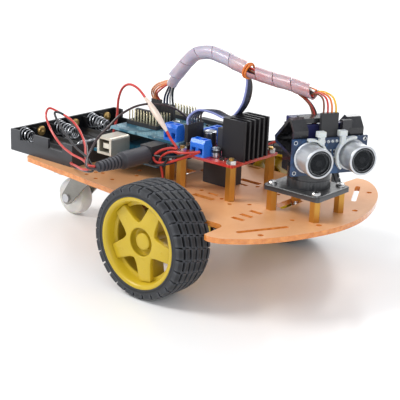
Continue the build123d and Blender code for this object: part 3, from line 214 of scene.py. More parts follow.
# ============================================================== materials
def surf(name, color, rough=0.4, metal=0.0, vary=0.10, blotch=60, grain=1500, depth=0.00002,
         wear=None, wear_gain=1.25, coat=0.0, scatter=0.0, clear=0.0, dust=0.0):
    """Moulded, painted or cast surface.

    vary and blotch set the tone change and its noise scale; grain and depth the fine noise
    scale and bump; wear the share of edge lightening, by wear_gain; scatter the subsurface
    weight; clear the transmission; dust the share of dust on faces that look up.
    """
    shader = Shader(name)
    tone = shader.tones(shader.noise(scale=blotch, detail=5.0, rough=0.6), color, vary)
    if wear is not None:
        worn = tuple(min(1.0, v * wear_gain + 0.02) for v in linear(color))
        tone = shader.mix(shader.edges(wear), tone, worn)
    if dust > 0:
        normal = shader.split(shader.geometry("Normal"))
        upward = shader.remap(normal["Z"], over=(0.3, 1.0), to=(0.0, dust))
        spots = shader.noise(scale=420, detail=6.0, rough=0.7)
        spots = shader.remap(spots, over=(0.42, 0.75), to=(0.0, 1.0))
        tone = shader.mix(shader.calc("MULTIPLY", upward, spots), tone, (0.62, 0.60, 0.57))
    shader.set("Base Color", tone)
    fine = shader.noise(scale=grain, detail=3.0, rough=0.6)
    shader.set("Roughness", shader.remap(fine, over=(0.25, 0.75), to=(rough - 0.08, rough + 0.08)))
    shader.set("Metallic", metal)
    shader.set("Specular IOR Level", 0.5)
    shader.set("IOR", 1.46)
    if coat:
        shader.set("Coat Weight", coat)
        shader.set("Coat Roughness", 0.08)
    if scatter:
        shader.set("Subsurface Weight", scatter)
        shader.set("Subsurface Scale", 0.002)
        shader.principled.inputs["Subsurface Radius"].default_value = (1.0, 0.8, 0.5)
    if clear:
        shader.set("Transmission Weight", clear)
    shader.set("Normal", shader.bump(fine, distance=depth, strength=0.7))


def brushed(name, color, stretch, rough=0.3, metal=1.0, scale=2600, vary=0.12):
    """Metal with fine streaks; stretch is the noise scale per axis."""
    shader = Shader(name)
    streaks = shader.noise(scale=scale, detail=4.0, rough=0.7, stretch=stretch)
    tone = shader.tones(shader.noise(scale=80, detail=4.0, rough=0.6), color, vary)
    dark = shader.remap(streaks, over=(0.35, 0.75), to=(0.0, 0.35))
    tone = shader.mix(dark, tone, scaled(color, 0.72))
    tone = shader.mix(shader.edges(0.5), tone, scaled(color, 1.35))
    shader.set("Base Color", tone)
    shader.set("Metallic", metal)
    shader.set("Roughness", shader.remap(streaks, over=(0.2, 0.8), to=(rough - 0.1, rough + 0.14)))
    shader.set("Normal", shader.bump(streaks, distance=0.00002, strength=0.5))


def board(name, color, track_color, rough=0.28):
    """Solder mask with faint copper tracks and vias under it."""
    shader = Shader(name)
    brick = shader.node("ShaderNodeTexBrick")
    shader.link(shader.mapped((420.0, 420.0, 420.0)), brick.inputs["Vector"])
    brick.inputs["Mortar Size"].default_value = 0.09
    brick.inputs["Scale"].default_value = 0.55
    for key, grey in (("Color1", 0), ("Color2", 0), ("Mortar", 1)):
        brick.inputs[key].default_value = (grey, grey, grey, 1)
    patches = shader.remap(shader.noise(scale=120, detail=2.0), over=(0.48, 0.52), to=(0.0, 1.0))
    tracks = shader.calc("MULTIPLY", brick.outputs["Color"], patches)
    cells = shader.node("ShaderNodeTexVoronoi")
    cells.inputs["Scale"].default_value = 240
    shader.link(shader.coords, cells.inputs["Vector"])
    vias = shader.remap(cells.outputs["Distance"], over=(0.12, 0.16), to=(1.0, 0.0))
    tone = shader.ramp(shader.noise(scale=50, detail=3.0),
                       [(0.3, scaled(color, 0.9)), (0.7, scaled(color, 1.12))])
    tone = shader.mix(shader.calc("MULTIPLY", tracks, 0.55), tone, track_color)
    tone = shader.mix(shader.calc("MULTIPLY", vias, 0.6), tone, "#C8CBC4")
    shader.set("Base Color", tone)
    shader.set("Roughness", rough)
    shader.set("Coat Weight", 0.35)
    shader.set("Coat Roughness", 0.12)
    raised = shader.calc("MAXIMUM", tracks, vias)
    shader.set("Normal", shader.bump(raised, distance=0.00006, strength=0.6))


def plate_material():
    """Fibrous film on the flat faces, glossy orange on the cut edges."""
    shader = Shader("plate_film")
    normal = shader.split(shader.geometry("Normal"))
    flat = shader.remap(shader.calc("ABSOLUTE", normal["Z"]), over=(0.55, 0.8), to=(0.0, 1.0))
    fibre = shader.noise(scale=900, detail=6.0, rough=0.7, stretch=(1.0, 0.25, 1.0))
    blotch = shader.noise(scale=22, detail=4.0, rough=0.6)
    film = shader.ramp(blotch, [(0.25, "#D0905C"), (0.5, "#DEA371"), (0.8, "#E8B486")])
    film = shader.mix(shader.remap(fibre, over=(0.3, 0.8), to=(0.0, 0.25)), film, "#C98E62")
    scuff = shader.noise(scale=160, detail=8.0, rough=0.75, stretch=(1.0, 3.0, 1.0))
    scuff = shader.remap(scuff, over=(0.62, 0.72), to=(0.0, 0.35))
    film = shader.mix(scuff, film, "#F7DCC2")
    cut_edge = shader.ramp(shader.noise(scale=300, detail=3.0),
                           [(0.3, "#C46F2C"), (0.7, "#E0934C")])
    shader.set("Base Color", shader.mix(flat, cut_edge, film))
    shader.set("Roughness", shader.remap(flat, over=(0.0, 1.0), to=(0.16, 0.52)))
    shader.set("Specular IOR Level", 0.45)
    waves = shader.bump(blotch, distance=0.0004, strength=0.25)
    shader.set("Normal", shader.bump(fibre, distance=0.00004, strength=0.5, below=waves))
    shader.set("Coat Weight", shader.remap(flat, over=(0.0, 1.0), to=(0.6, 0.12)))


def rubber_material():
    shader = Shader("tyre_rubber")
    fine = shader.noise(scale=1400, detail=6.0, rough=0.7)
    blotch = shader.noise(scale=70, detail=5.0, rough=0.65)
    tone = shader.ramp(blotch, [(0.3, "#0F1013"), (0.6, "#151619"), (0.85, "#1E2024")])
    tone = shader.mix(shader.edges(0.5, over=(0.51, 0.57)), tone, "#5C5F66")
    worn = shader.noise(scale=160, detail=6.0, rough=0.7)
    worn = shader.remap(worn, over=(0.5, 0.72), to=(0.0, 0.35))
    tone = shader.mix(worn, tone, "#33363C")
    # painted shade in the tread grooves: near black where the radius is low and the place is well
    # inside the tyre's width
    place = shader.split(shader.coords)
    height = shader.calc("SUBTRACT", place["Z"], AXLE_Z * MM)
    radius = shader.calc("SQRT", shader.calc(
        "ADD", shader.calc("MULTIPLY", place["X"], place["X"]),
        shader.calc("MULTIPLY", height, height)))
    across = shader.calc("ABSOLUTE", shader.calc(
        "SUBTRACT", shader.calc("ABSOLUTE", place["Y"]), WHEEL_Y * MM))
    painted_groove_shade = shader.calc("MULTIPLY",
                       shader.remap(radius, over=(0.0311, 0.0319), to=(1.0, 0.0)),
                       shader.remap(across, over=(0.0107, 0.0113), to=(1.0, 0.0)))
    shader.set("Base Color", shader.mix(painted_groove_shade, tone, "#050506"))
    shader.set("Roughness", shader.remap(fine, over=(0.2, 0.8), to=(0.48, 0.7)))
    shader.set("Specular IOR Level", 0.38)
    shader.set("Sheen Weight", 0.1)
    shader.set("Sheen Roughness", 0.5)
    shader.set("Normal", shader.bump(fine, distance=0.00005, strength=0.6))


def wrap_material():
    """Milky plastic: lilac grey to the rear, pink streaks towards the front."""
    shader = Shader("wrap_plastic")
    fine = shader.noise(scale=700, detail=4.0, rough=0.6)
    tone = shader.ramp(shader.noise(scale=70, detail=3.0),
                       [(0.3, "#9A9CB4"), (0.52, "#AEABBB"), (0.75, "#C4BCC2")])
    streak = shader.noise(scale=230, detail=3.0, rough=0.6, stretch=(0.10, 1.0, 0.35))
    streak = shader.remap(streak, over=(0.36, 0.62), to=(0.0, 0.95))
    along = shader.split(shader.coords)["X"]
    front = shader.remap(along, over=(-0.004, 0.014), to=(0.22, 1.0))
    tone = shader.mix(shader.remap(along, over=(-0.004, 0.02), to=(0.0, 0.45)), tone, "#B58783")
    tone = shader.mix(shader.calc("MULTIPLY", streak, front), tone, "#AC6763")
    shader.set("Base Color", tone)
    shader.set("Roughness", shader.remap(fine, over=(0.2, 0.8), to=(0.26, 0.42)))
    shader.set("Specular IOR Level", 0.45)
    shader.set("Subsurface Weight", 0.25)
    shader.set("Subsurface Scale", 0.002)
    shader.set("Coat Weight", 0.15)
    shader.set("Normal", shader.bump(fine, distance=0.00003, strength=0.4))


def screen_material():
    """Woven screen in front of each transducer."""
    shader = Shader("screen_mesh")
    tone = shader.noise(scale=1200, detail=2.0)
    shader.set("Base Color", shader.ramp(tone, [(0.3, "#1E2023"), (0.7, "#33363A")]))
    shader.set("Metallic", 0.6)
    shader.set("Roughness", 0.45)


plate_material()
rubber_material()
surf("bracket_acrylic", "#D98F52", rough=0.2, vary=0.06, clear=0.35)
surf("rim_yellow", "#C0A424", rough=0.34, vary=0.06, blotch=45, grain=1100, depth=0.000012,
     wear=0.35, wear_gain=1.12, scatter=0.06, coat=0.1)
surf("gear_yellow", "#D9B81E", rough=0.38, vary=0.07, grain=1200, wear=0.4)
surf("white_plastic", "#E4E3DC", rough=0.38, vary=0.04, scatter=0.1, wear=0.3)
surf("black_gloss", "#0D0D10", rough=0.2, vary=0.25, grain=1300, depth=0.000012, wear=0.5,
     wear_gain=5.0, coat=0.35, dust=0.04)
surf("base_black", "#27282B", rough=0.34, vary=0.2, grain=1300, depth=0.000012, wear=0.5,
     wear_gain=3.0, coat=0.3, dust=0.12)
surf("black_satin", "#17171A", rough=0.38, vary=0.25, grain=1800, wear=0.55, wear_gain=4.5,
     dust=0.08)
surf("black_matt", "#1B1B1E", rough=0.55, vary=0.22, grain=1700, depth=0.00004, wear=0.5,
     wear_gain=3.5)
surf("holder_black", "#121316", rough=0.34, vary=0.3, depth=0.00003, wear=0.7, wear_gain=6.0,
     dust=0.06)
surf("rubber_plug", "#3A3A3F", rough=0.5, vary=0.15, depth=0.00004, wear=0.5, wear_gain=2.2)
surf("header_black", "#121214", rough=0.42, vary=0.3, grain=2200, wear=0.5, wear_gain=4.0)
brushed("steel", "#B9BABD", stretch=(1.0, 1.0, 0.15))
brushed("nickel", "#CBCBCB", stretch=(1.0, 1.0, 1.0), rough=0.22, scale=1500)
brushed("caster_steel", "#8C8A85", stretch=(0.2, 1.0, 1.0), rough=0.45, vary=0.2)
brushed("brass", "#B98C45", stretch=(1.0, 1.0, 0.05), rough=0.36, scale=3000, vary=0.14)
brushed("stud_brass", "#D8B473", stretch=(1.0, 1.0, 1.0), metal=0.85)
brushed("armature", "#8D8580", stretch=(0.05, 1.0, 1.0), rough=0.4, scale=4000)
brushed("copper", "#B5652F", stretch=(0.1, 1.0, 1.0))
brushed("spring_steel", "#B4B6BA", stretch=(1.0, 1.0, 1.0), scale=1800)
brushed("can_metal", "#C8CBCF", stretch=(0.06, 1.0, 1.0), rough=0.36, metal=0.85, scale=2200,
        vary=0.03)
brushed("pin_metal", "#D9D2B4", stretch=(1.0, 1.0, 0.1), rough=0.26)
brushed("usb_metal", "#CFCABC", stretch=(1.0, 0.1, 1.0), rough=0.33, metal=0.8, vary=0.08)
brushed("heat_sink_black", "#1E1D20", stretch=(1.0, 1.0, 0.04), rough=0.42, metal=0.35, vary=0.25)
brushed("cap_metal", "#B4B8BE", stretch=(1.0, 1.0, 0.1), rough=0.25)
surf("cap_sleeve", "#16181F", rough=0.25, vary=0.2, coat=0.3, wear=0.4, wear_gain=3.0)
surf("terminal_blue", "#1F6BD6", rough=0.3, vary=0.07, grain=1600, wear=0.5, wear_gain=1.4,
     scatter=0.05, coat=0.15)
surf("servo_blue", "#25264F", rough=0.2, vary=0.15, wear=0.5, wear_gain=2.0, coat=0.3)
surf("caster_plastic", "#F4F2EE", vary=0.03, blotch=90, scatter=0.5, clear=0.45, wear=0.3,
     wear_gain=1.1)
surf("tie_nylon", "#DDE2E2", rough=0.34, vary=0.04, grain=900, scatter=0.25, clear=0.12,
     depth=0.00003)
surf("button_plastic", "#B9382E", rough=0.35, wear=0.4)
surf("magnet", "#3A3A3E", rough=0.6, vary=0.2)
surf("led", "#E8E4C8", rough=0.2, clear=0.4)
surf("solder", "#D4D6D8", rough=0.24, metal=1.0, grain=2500, depth=0.00003)
surf("cone_hub", "#6C7072", rough=0.45, blotch=600)
surf("dark_cone", "#2B2D30", rough=0.35, metal=0.7, vary=0.25)
surf("smd_body", "#2A2422", vary=0.2)
surf("smd_tan", "#B89A68", vary=0.12)
surf("heat_shrink", "#E8D6C8", rough=0.34, vary=0.05, clear=0.15, scatter=0.2)
surf("silk_white", "#DADCDC", rough=0.5, vary=0.05)
board("red_board", "#B3261F", track_color="#D85A48")
board("blue_board", "#09294B", track_color="#184C7C", rough=0.45)
board("teal_board", "#275F75", track_color="#8FBDCB", rough=0.38)
board("uno_board", "#17506B", track_color="#2E7C96")
WIRE_COLORS = {
    "red": "#C03A34", "black": "#26262A", "orange": "#D8742A", "brown": "#6E3A22",
    "blue": "#2F4C8C", "violet": "#6C6AA8", "grey": "#7C7C86", "white": "#E6E4E0",
    "darkblue": "#27314F", "yellow": "#E2B42C", "lilac": "#8F97CE", "darkbrown": "#3A2B2C",
    "paleorange": "#E3A27C", "navy": "#1D2440", "cream": "#D8CDB4",
}
for wire_name, wire_color in WIRE_COLORS.items():
    surf("wire_" + wire_name, wire_color, rough=0.36, vary=0.08, blotch=120, depth=0.000015,
         coat=0.12)
wrap_material()
screen_material()


# =========================================================== mesh building
def add_bevel(ob, width):
    bevel = ob.modifiers.new("bevel", "BEVEL")
    bevel.width = width * MM
    bevel.segments = 2
    bevel.limit_method = "ANGLE"
    bevel.angle_limit = math.radians(40)


class Shape:
    """Collects solids, in millimetres, into one mesh."""

    def __init__(self):
        self.vertices, self.faces = [], []

    def add(self, vertices, faces):
        start = len(self.vertices)
        self.vertices += [tuple(point) for point in vertices]
        self.faces += [tuple(i + start for i in face) for face in faces]
        return self

    def box(self, x0, x1, y0, y1, z0, z1, place=None):
        """Box between the limits; place moves each point."""
        points = [(x0, y0, z0), (x1, y0, z0), (x1, y1, z0), (x0, y1, z0),
                  (x0, y0, z1), (x1, y0, z1), (x1, y1, z1), (x0, y1, z1)]
        if place:
            points = [place(point) for point in points]
        self.add(points, [(0, 3, 2, 1), (4, 5, 6, 7), (0, 1, 5, 4),
                          (1, 2, 6, 5), (2, 3, 7, 6), (3, 0, 4, 7)])

    def rings(self, rows, closed):
        """Join equal rows of points in a loop; closed also joins each row's ends."""
        count = len(rows[0])
        faces = []
        for i in range(len(rows)):
            j = (i + 1) % len(rows)
            for k in range(count if closed else count - 1):
                m = (k + 1) % count
                faces.append((i * count + k, j * count + k, j * count + m, i * count + m))
        return self.add([point for row in rows for point in row], faces)

    def lathe(self, profile, centre, axis, segments, place=None, closed=False):
        """Turn (radius, height) points about an axis through centre."""
        rows = []
        for i in range(segments):
            angle = 2 * math.pi * i / segments
            row = []
            for radius, height in profile:
                c, s = radius * math.cos(angle), radius * math.sin(angle)
                point = {"z": (c, s, height), "x": (height, c, s), "y": (c, height, s)}[axis]
                point = tuple(p + q for p, q in zip(point, centre))
                row.append(place(point) if place else point)
            rows.append(row)
        return self.rings(rows, closed)

    def tube(self, path, radius, sides=10, caps=True):
        """Round tube on a path; radius is a number or a function of 0..1 along it."""
        points, normals, binormals = frames(path)
        last = len(points) - 1
        vertices, faces = [], []
        for i in range(last + 1):
            r = radius(i / last) if callable(radius) else radius
            for k in range(sides):
                a = 2 * math.pi * k / sides
                spoke = math.cos(a) * normals[i] + math.sin(a) * binormals[i]
                vertices.append(points[i] + r * spoke)
        for i in range(last):
            here, ahead = i * sides, (i + 1) * sides
            for k in range(sides):
                m = (k + 1) % sides
                faces.append((here + k, here + m, ahead + m, ahead + k))
        if caps:
            faces.append(tuple(reversed(range(sides))))
            faces.append(tuple(last * sides + k for k in range(sides)))
        return self.add(vertices, faces)

    def make(self, name, material, slot, body="chassis", bevel=0.0):
        """Build the object; body is the moving part it rides, or None."""
        mesh = bpy.data.meshes.new(name)
        mesh.from_pydata([tuple(c * MM for c in v) for v in self.vertices], [], self.faces)
        mesh.validate()
        ob = bpy.data.objects.new(name, mesh)
        scene.collection.objects.link(ob)
        mesh.materials.append(MATERIALS[material])
        bm = bmesh.new()
        bm.from_mesh(mesh)
        bmesh.ops.remove_doubles(bm, verts=bm.verts, dist=1e-7)
        bmesh.ops.recalc_face_normals(bm, faces=bm.faces)
        bm.to_mesh(mesh)
        bm.free()
        if bevel:
            add_bevel(ob, bevel)
        mesh.polygons.foreach_set("use_smooth", [True] * len(mesh.polygons))
        mesh.update()
        mesh.set_sharp_from_angle(angle=math.radians(35))
        if body:
            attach(ob, body)
        return ob


def spline(points, step=1.2):
    """Centripetal Catmull-Rom curve through the points, sampled about every step."""
    def between(p, q, start, end):
        return (end - at) / (end - start) * p + (at - start) / (end - start) * q

    points = [np.array(p, float) for p in points]
    points = [2 * points[0] - points[1]] + points + [2 * points[-1] - points[-2]]
    out = []
    for i in range(1, len(points) - 2):
        four = points[i - 1:i + 3]
        knots = [0.0]
        for p, q in zip(four, four[1:]):
            knots.append(knots[-1] + max(1e-6, np.linalg.norm(q - p)) ** 0.5)
        count = max(2, int(np.linalg.norm(four[2] - four[1]) / step))
        for k in range(count):
            at = knots[1] + (knots[2] - knots[1]) * k / count
            three = [between(four[j], four[j + 1], knots[j], knots[j + 1]) for j in range(3)]
            two = [between(three[j], three[j + 1], knots[j], knots[j + 2]) for j in range(2)]
            out.append(between(two[0], two[1], knots[1], knots[2]))
    out.append(points[-2])
    return out


def frames(path):
    """Points, normals and binormals carried along a path without twist."""
    points = np.array(path)
    tangents = np.gradient(points, axis=0)
    tangents /= np.linalg.norm(tangents, axis=1)[:, None]
    normal = np.cross(tangents[0], (0, 0, 1.0))
    if np.linalg.norm(normal) < 0.1:
        normal = np.cross(tangents[0], (1.0, 0, 0))
    normals = [normal / np.linalg.norm(normal)]
    for tangent in tangents[1:]:
        normal = normals[-1] - tangent * np.dot(normals[-1], tangent)
        normals.append(normal / np.linalg.norm(normal))
    normals = np.array(normals)
    return points, normals, np.cross(tangents, normals)


def wires(name, groups, slot):
    """groups: {colour: [(points, radius), ...]}; one mesh per colour."""
    made = []
    for color, items in groups.items():
        shape = Shape()
        for points, radius in items:
            shape.tube(spline(points), radius)
        made.append(shape.make(f"{name}_{color}", "wire_" + color, slot))
    return made


# ============================================= finish of the loaded pieces
# piece: (material, bevel width)
FINISH = {
    "chassis_plate": ("plate_film", 0.25), "motor_brackets": ("bracket_acrylic", 0.2),
    "gearbox_cases": ("gear_yellow", 0.35), "gearbox_covers": ("gear_yellow", 0.35),
    "motor_cans": ("steel", 0.3), "motor_end_caps": ("white_plastic", 0.2),
    "motor_magnets": ("magnet", 0.0), "gear_pins": ("steel", 0.0),
    "machine_screws": ("nickel", 0.12), "hex_nuts": ("nickel", 0.25),
    "brass_standoffs": ("brass", 0.2), "driver_board": ("red_board", 0.1),
    "driver_heat_sink": ("heat_sink_black", 0.15), "driver_chip": ("black_matt", 0.15),
    "driver_capacitors": ("cap_sleeve", 0.3), "driver_header": ("header_black", 0.12),
    "screw_terminals": ("terminal_blue", 0.2), "controller_board": ("uno_board", 0.1),
    "usb_socket": ("usb_metal", 0.3), "dc_jack": ("black_satin", 0.3),
    "header_strips": ("header_black", 0.1), "shield_board": ("teal_board", 0.1),
    "reset_button": ("button_plastic", 0.2), "battery_holder": ("holder_black", 0.55),
    "battery_springs": ("spring_steel", 0.0), "battery_studs": ("stud_brass", 0.1),
    "dc_plug": ("rubber_plug", 0.35), "switch_body": ("black_satin", 0.3),
    "switch_rocker": ("black_gloss", 0.3), "caster_plate": ("caster_steel", 0.2),
    "caster_fork": ("caster_steel", 0.25), "caster_axle": ("steel", 0.3),
    "caster_wheel": ("caster_plastic", 0.5), "pan_base_plate": ("base_black", 0.3),
    "pan_servo": ("servo_blue", 0.3), "pan_yoke": ("black_gloss", 0.5),
    "tilt_servo": ("servo_blue", 0.3), "tilt_head": ("black_gloss", 0.9),
    "sensor_board": ("blue_board", 0.1), "sensor_cans": ("can_metal", 0.2),
    "cable_ties": ("tie_nylon", 0.2), "sensor_plug": ("header_black", 0.15),
}
# pieces that come as a right and a left one, without bevel: material
PAIRED_FINISH = {
    "motor_rotor": "armature", "crown_gear": "white_plastic", "idler_gear": "white_plastic",
    "output_gear": "white_plastic", "encoder_disc": "black_satin", "wheel_rim": "rim_yellow",
}


def finish_nodes():
    finish = dict(FINISH)
    for side, _ in SIDES:
        for part, material in PAIRED_FINISH.items():
            finish[f"{side}_{part}"] = (material, 0.0)
    for name, ob in nodes.items():
        if name not in finish:
            continue
        material, bevel = finish[name]
        if not ob.material_slots:
            ob.data.materials.append(None)
        for slot in ob.material_slots:
            slot.material = MATERIALS[material]
        if bevel:
            add_bevel(ob, bevel)
        ob.modifiers.new("weighted", "WEIGHTED_NORMAL").keep_sharp = True


# ================================================================= wheels
# Wheel profiles are (radius, offset); offset is measured along the axle from the wheel's
# centre plane, positive away from the car.
TYRE_HALF = [(26.05, 12.9), (26.6, 13.0), (27.2, 12.85), (27.5, 13.0), (28.3, 12.95),
             (29.0, 12.6), (29.5, 12.0), (29.8, 10.8), (30.0, 8.0)]
TYRE_BEAD = [(26.05, -11.7), (25.05, -11.2), (25.05, 11.2), (26.05, 11.7)]
TYRE_PROFILE = TYRE_HALF + [(30.1, 0.0)] + [(r, -h) for r, h in reversed(TYRE_HALF)] + TYRE_BEAD
BLOCK_COUNT = 28        # tread blocks round each column
# tread columns: (inner offset, outer offset, shift round the tyre as a share of a block)
TREAD_COLUMNS = [(-13.0, -10.0, 0.0), (-8.3, -5.3, 0.13), (-3.6, -0.6, 0.29),
                 (1.0, 4.0, 0.46), (5.7, 8.6, 0.62), (10.3, 13.0, 0.76)]
GROOVE_FLOOR = 29.6     # radius

RIM_PROFILE = [
    (25.0, 11.2), (26.0, 11.7), (26.0, 12.6), (25.75, 12.92), (25.2, 13.0), (24.5, 12.95),
    (23.8, 12.6), (23.35, 12.0), (22.95, 10.4), (22.6, 8.9), (22.5, 7.4), (22.3, 6.9),
    (21.9, 6.75), (21.0, 6.75), (20.55, 6.55), (20.4, 6.1), (20.5, 5.4), (21.2, 4.9),
    (22.3, 4.6), (22.6, 3.8), (22.75, -2.0), (23.3, -10.0), (24.4, -12.6), (25.0, -12.8),
    (25.8, -12.7), (26.0, -12.2), (26.0, -11.7), (25.0, -11.2)]
HUB_PROFILE = [
    (0.0, 8.2), (3.6, 8.2), (4.3, 8.05), (4.75, 7.7), (4.9, 7.1), (5.0, 5.4), (5.3, 4.85),
    (6.0, 4.65), (7.2, 4.7), (7.8, 5.0), (8.0, 5.6), (8.0, 8.6), (8.2, 8.95), (8.6, 9.0),
    (9.0, 8.6), (9.6, 6.4), (9.3, 4.2), (8.2, 3.3), (6.8, 3.0), (6.4, 2.0), (6.4, -14.2),
    (6.1, -14.7), (3.2, -14.7), (2.85, -14.3), (2.85, -3.6), (0.0, -3.6)]
NUB_PROFILE = [(0.0, 9.42), (0.55, 9.5), (0.8, 9.44), (0.86, 9.2)]
NUB_RADIUS = 15.5       # wheel radius at which a nub stands on each arm
ARM_ANGLES = [math.radians(-8 + 72 * k) for k in range(5)]
ARM_STEP = math.radians(72)
ARM_TIP = (22.3, 4.2)   # distance from the axle, half width
ARM_ROOT = (12.2, 5.25)
VALLEY_RADIUS = 10.9    # between two arms
CORNER_RADII = [1.2, 1.2, 2.2, 1.6, 2.2]  # tip, tip, root, valley, next root
EYE_RADIUS = 8.0
STAR_OFFSET = 7.75      # middle of the star's thickness


def wheel_profile(profile, sign):
    """The profile with its offsets turned into y."""
    return [(radius, sign * (WHEEL_Y + offset)) for radius, offset in profile]


def crown_radius(offset):
    """Outer radius of the tread."""
    t = abs(offset) / 13.0
    return 32.5 - 0.25 * t ** 2 - 10.0 * max(0.0, t - 0.64) ** 2


def tread_block(tread, sign, span, arc, skew, floor, drop=0.0, foot=1.0, steps=(4, 3)):
    """Add one block.

    span is its offsets, arc its angles, skew the turn across it, floor its bottom radius,
    drop its depth below the crown, foot the scale of the offsets at the floor.
    """
    around, across = steps
    low, high = [], []
    for u in range(around + 1):
        for v in range(across + 1):
            offset = span[0] + (span[1] - span[0]) * v / across
            angle = arc[0] + (arc[1] - arc[0]) * u / around + skew * (v / across - 0.5)
            inside = math.copysign(min(abs(offset), 12.97), offset)
            for points, radius, scale in ((low, floor, foot),
                                          (high, crown_radius(offset) - drop, 1.0)):
                points.append((radius * math.cos(angle), sign * (WHEEL_Y + inside * scale),
                               AXLE_Z + radius * math.sin(angle)))
    row = across + 1
    top = len(low)
    faces = []
    for u in range(around):
        for v in range(across):
            a, b = u * row + v, (u + 1) * row + v
            faces.append((top + a, top + b, top + b + 1, top + a + 1))
            faces.append((a, a + 1, b + 1, b))
    for u in range(around):
        for v in (0, across):
            a, b = u * row + v, (u + 1) * row + v
            faces.append((a, b, top + b, top + a))
    for v in range(across):
        for u in (0, around):
            a = u * row + v
            faces.append((a, a + 1, top + a + 1, top + a))
    tread.add(low + high, faces)


def build_tyre(side, sign):
    """Carcass, and six columns of blocks joined across the grooves by low webs."""
    name, body = f"{side}_tyre", f"{side}_wheel"
    carcass = Shape().lathe(wheel_profile(TYRE_PROFILE, sign), (0, 0, AXLE_Z), "y", 216,
                            closed=True)
    carcass = carcass.make(name + "_carcass", "tyre_rubber", "tyre_rubber", body)
    tread = Shape()
    pitch = 2 * math.pi / BLOCK_COUNT
    last = len(TREAD_COLUMNS) - 1
    for column, (inner, outer, shift) in enumerate(TREAD_COLUMNS):
        shoulder = column in (0, last)
        gap = 0.07 if shoulder else 0.035  # half the slit, as a share of a block
        for i in range(BLOCK_COUNT):
            wobble = 0.012 * math.sin(5.1 * i + 1.7 * column)
            arc = (pitch * (i + shift + gap + wobble), pitch * (i + 1 + shift - gap + wobble))
            tread_block(tread, sign, (inner, outer), arc, skew=0.10 * pitch,
                        floor=28.4 if shoulder else GROOVE_FLOOR,
                        foot=0.985 if shoulder else 1.0)
            if column < last:
                next_inner, _, next_shift = TREAD_COLUMNS[column + 1]
                middle = i + (shift + next_shift) / 2
                tread_block(tread, sign, (outer - 0.12, next_inner + 0.12),
                            (pitch * (middle - 0.11), pitch * (middle + 0.11)),
                            skew=0.03 * pitch, floor=GROOVE_FLOOR, drop=0.5, steps=(1, 1))
    tread.make(name + "_tread", "tyre_rubber", "tyre_rubber", body, bevel=0.2)
    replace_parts(carcass, name)


def arc_points(cx, cy, radius, start, end, count):
    angles = [start + (end - start) * k / count for k in range(count + 1)]
    return [(cx + radius * math.cos(a), cy + radius * math.sin(a)) for a in angles]


def round_corners(points, radii):
    """Closed polygon with each corner rounded by its own radius."""
    out = []
    count = len(points)
    for i, radius in enumerate(radii):
        before, corner, after = (np.array(points[(i + d) % count], float) for d in (-1, 0, 1))
        u, v = before - corner, after - corner
        u_length, v_length = np.linalg.norm(u), np.linalg.norm(v)
        u, v = u / u_length, v / v_length
        half = math.acos(max(-1.0, min(1.0, float(np.dot(u, v))))) / 2
        setback = min(radius / math.tan(half), 0.48 * u_length, 0.48 * v_length)
        fitted = setback * math.tan(half)
        centre = corner + (u + v) / np.linalg.norm(u + v) * (fitted / math.sin(half))
        start, end = (math.atan2(p[1] - centre[1], p[0] - centre[0])
                      for p in (corner + u * setback, corner + v * setback))
        while end - start > math.pi:
            end -= 2 * math.pi
        while end - start < -math.pi:
            end += 2 * math.pi
        out += arc_points(centre[0], centre[1], fitted, start, end, 8)
    return out


def turned(u, w, angle):
    """Point u out along an arm at the angle and w across it, in the wheel's plane."""
    c, s = math.cos(angle), math.sin(angle)
    return u * c - w * s, u * s + w * c


def star_shape(side, sign):
    """Five arms in one outline with a round eye, filled by a temporary curve."""
    outline = []
    for angle in ARM_ANGLES:
        following = angle + ARM_STEP
        outline += [turned(ARM_TIP[0], -ARM_TIP[1], angle), turned(*ARM_TIP, angle),
                    turned(*ARM_ROOT, angle),
                    turned(VALLEY_RADIUS, 0.0, angle + ARM_STEP / 2),
                    turned(ARM_ROOT[0], -ARM_ROOT[1], following)]
    star = round_corners(outline, CORNER_RADII * 5)
    eye = list(reversed(arc_points(0, 0, EYE_RADIUS, 0, 2 * math.pi, 72)[:-1]))
    curve = bpy.data.curves.new(f"{side}_star_outline", "CURVE")
    curve.dimensions = "2D"
    curve.fill_mode = "BOTH"
    curve.extrude = 1.15
    curve.bevel_depth = 0.5
    curve.bevel_resolution = 2
    curve.offset = -0.5
    for ring in (star, eye):
        line = curve.splines.new("POLY")
        line.points.add(len(ring) - 1)
        for point, (x, y) in zip(line.points, ring):
            point.co = (x, y, 0, 1)
        line.use_cyclic_u = True
    holder = bpy.data.objects.new(f"{side}_star_tmp", curve)
    scene.collection.objects.link(holder)
    mesh = bpy.data.meshes.new_from_object(
        holder.evaluated_get(bpy.context.evaluated_depsgraph_get()))
    shape = Shape().add(
        [(v.co.x, sign * (WHEEL_Y + STAR_OFFSET + v.co.z), AXLE_Z + v.co.y)
         for v in mesh.vertices],
        [tuple(face.vertices) for face in mesh.polygons])
    bpy.data.objects.remove(holder)
    bpy.data.curves.remove(curve)
    bpy.data.meshes.remove(mesh)
    return shape


def rib_shape(sign):
    """Two ribs behind each arm and a small nub on it."""
    shape = Shape()
    y0, y1 = sorted((sign * (WHEEL_Y - 3.0), sign * (WHEEL_Y + 6.6)))
    for angle in ARM_ANGLES:
        def on_arm(point):
            x, z = turned(point[0], point[2], angle)
            return x, point[1], AXLE_Z + z

        for across in (-3.1, 3.1):
            shape.box(8.2, 22.4, y0, y1, across - 0.6, across + 0.6, on_arm)
        shape.lathe(wheel_profile(NUB_PROFILE, sign), on_arm((NUB_RADIUS, 0, 0)), "y", 16)
    return shape


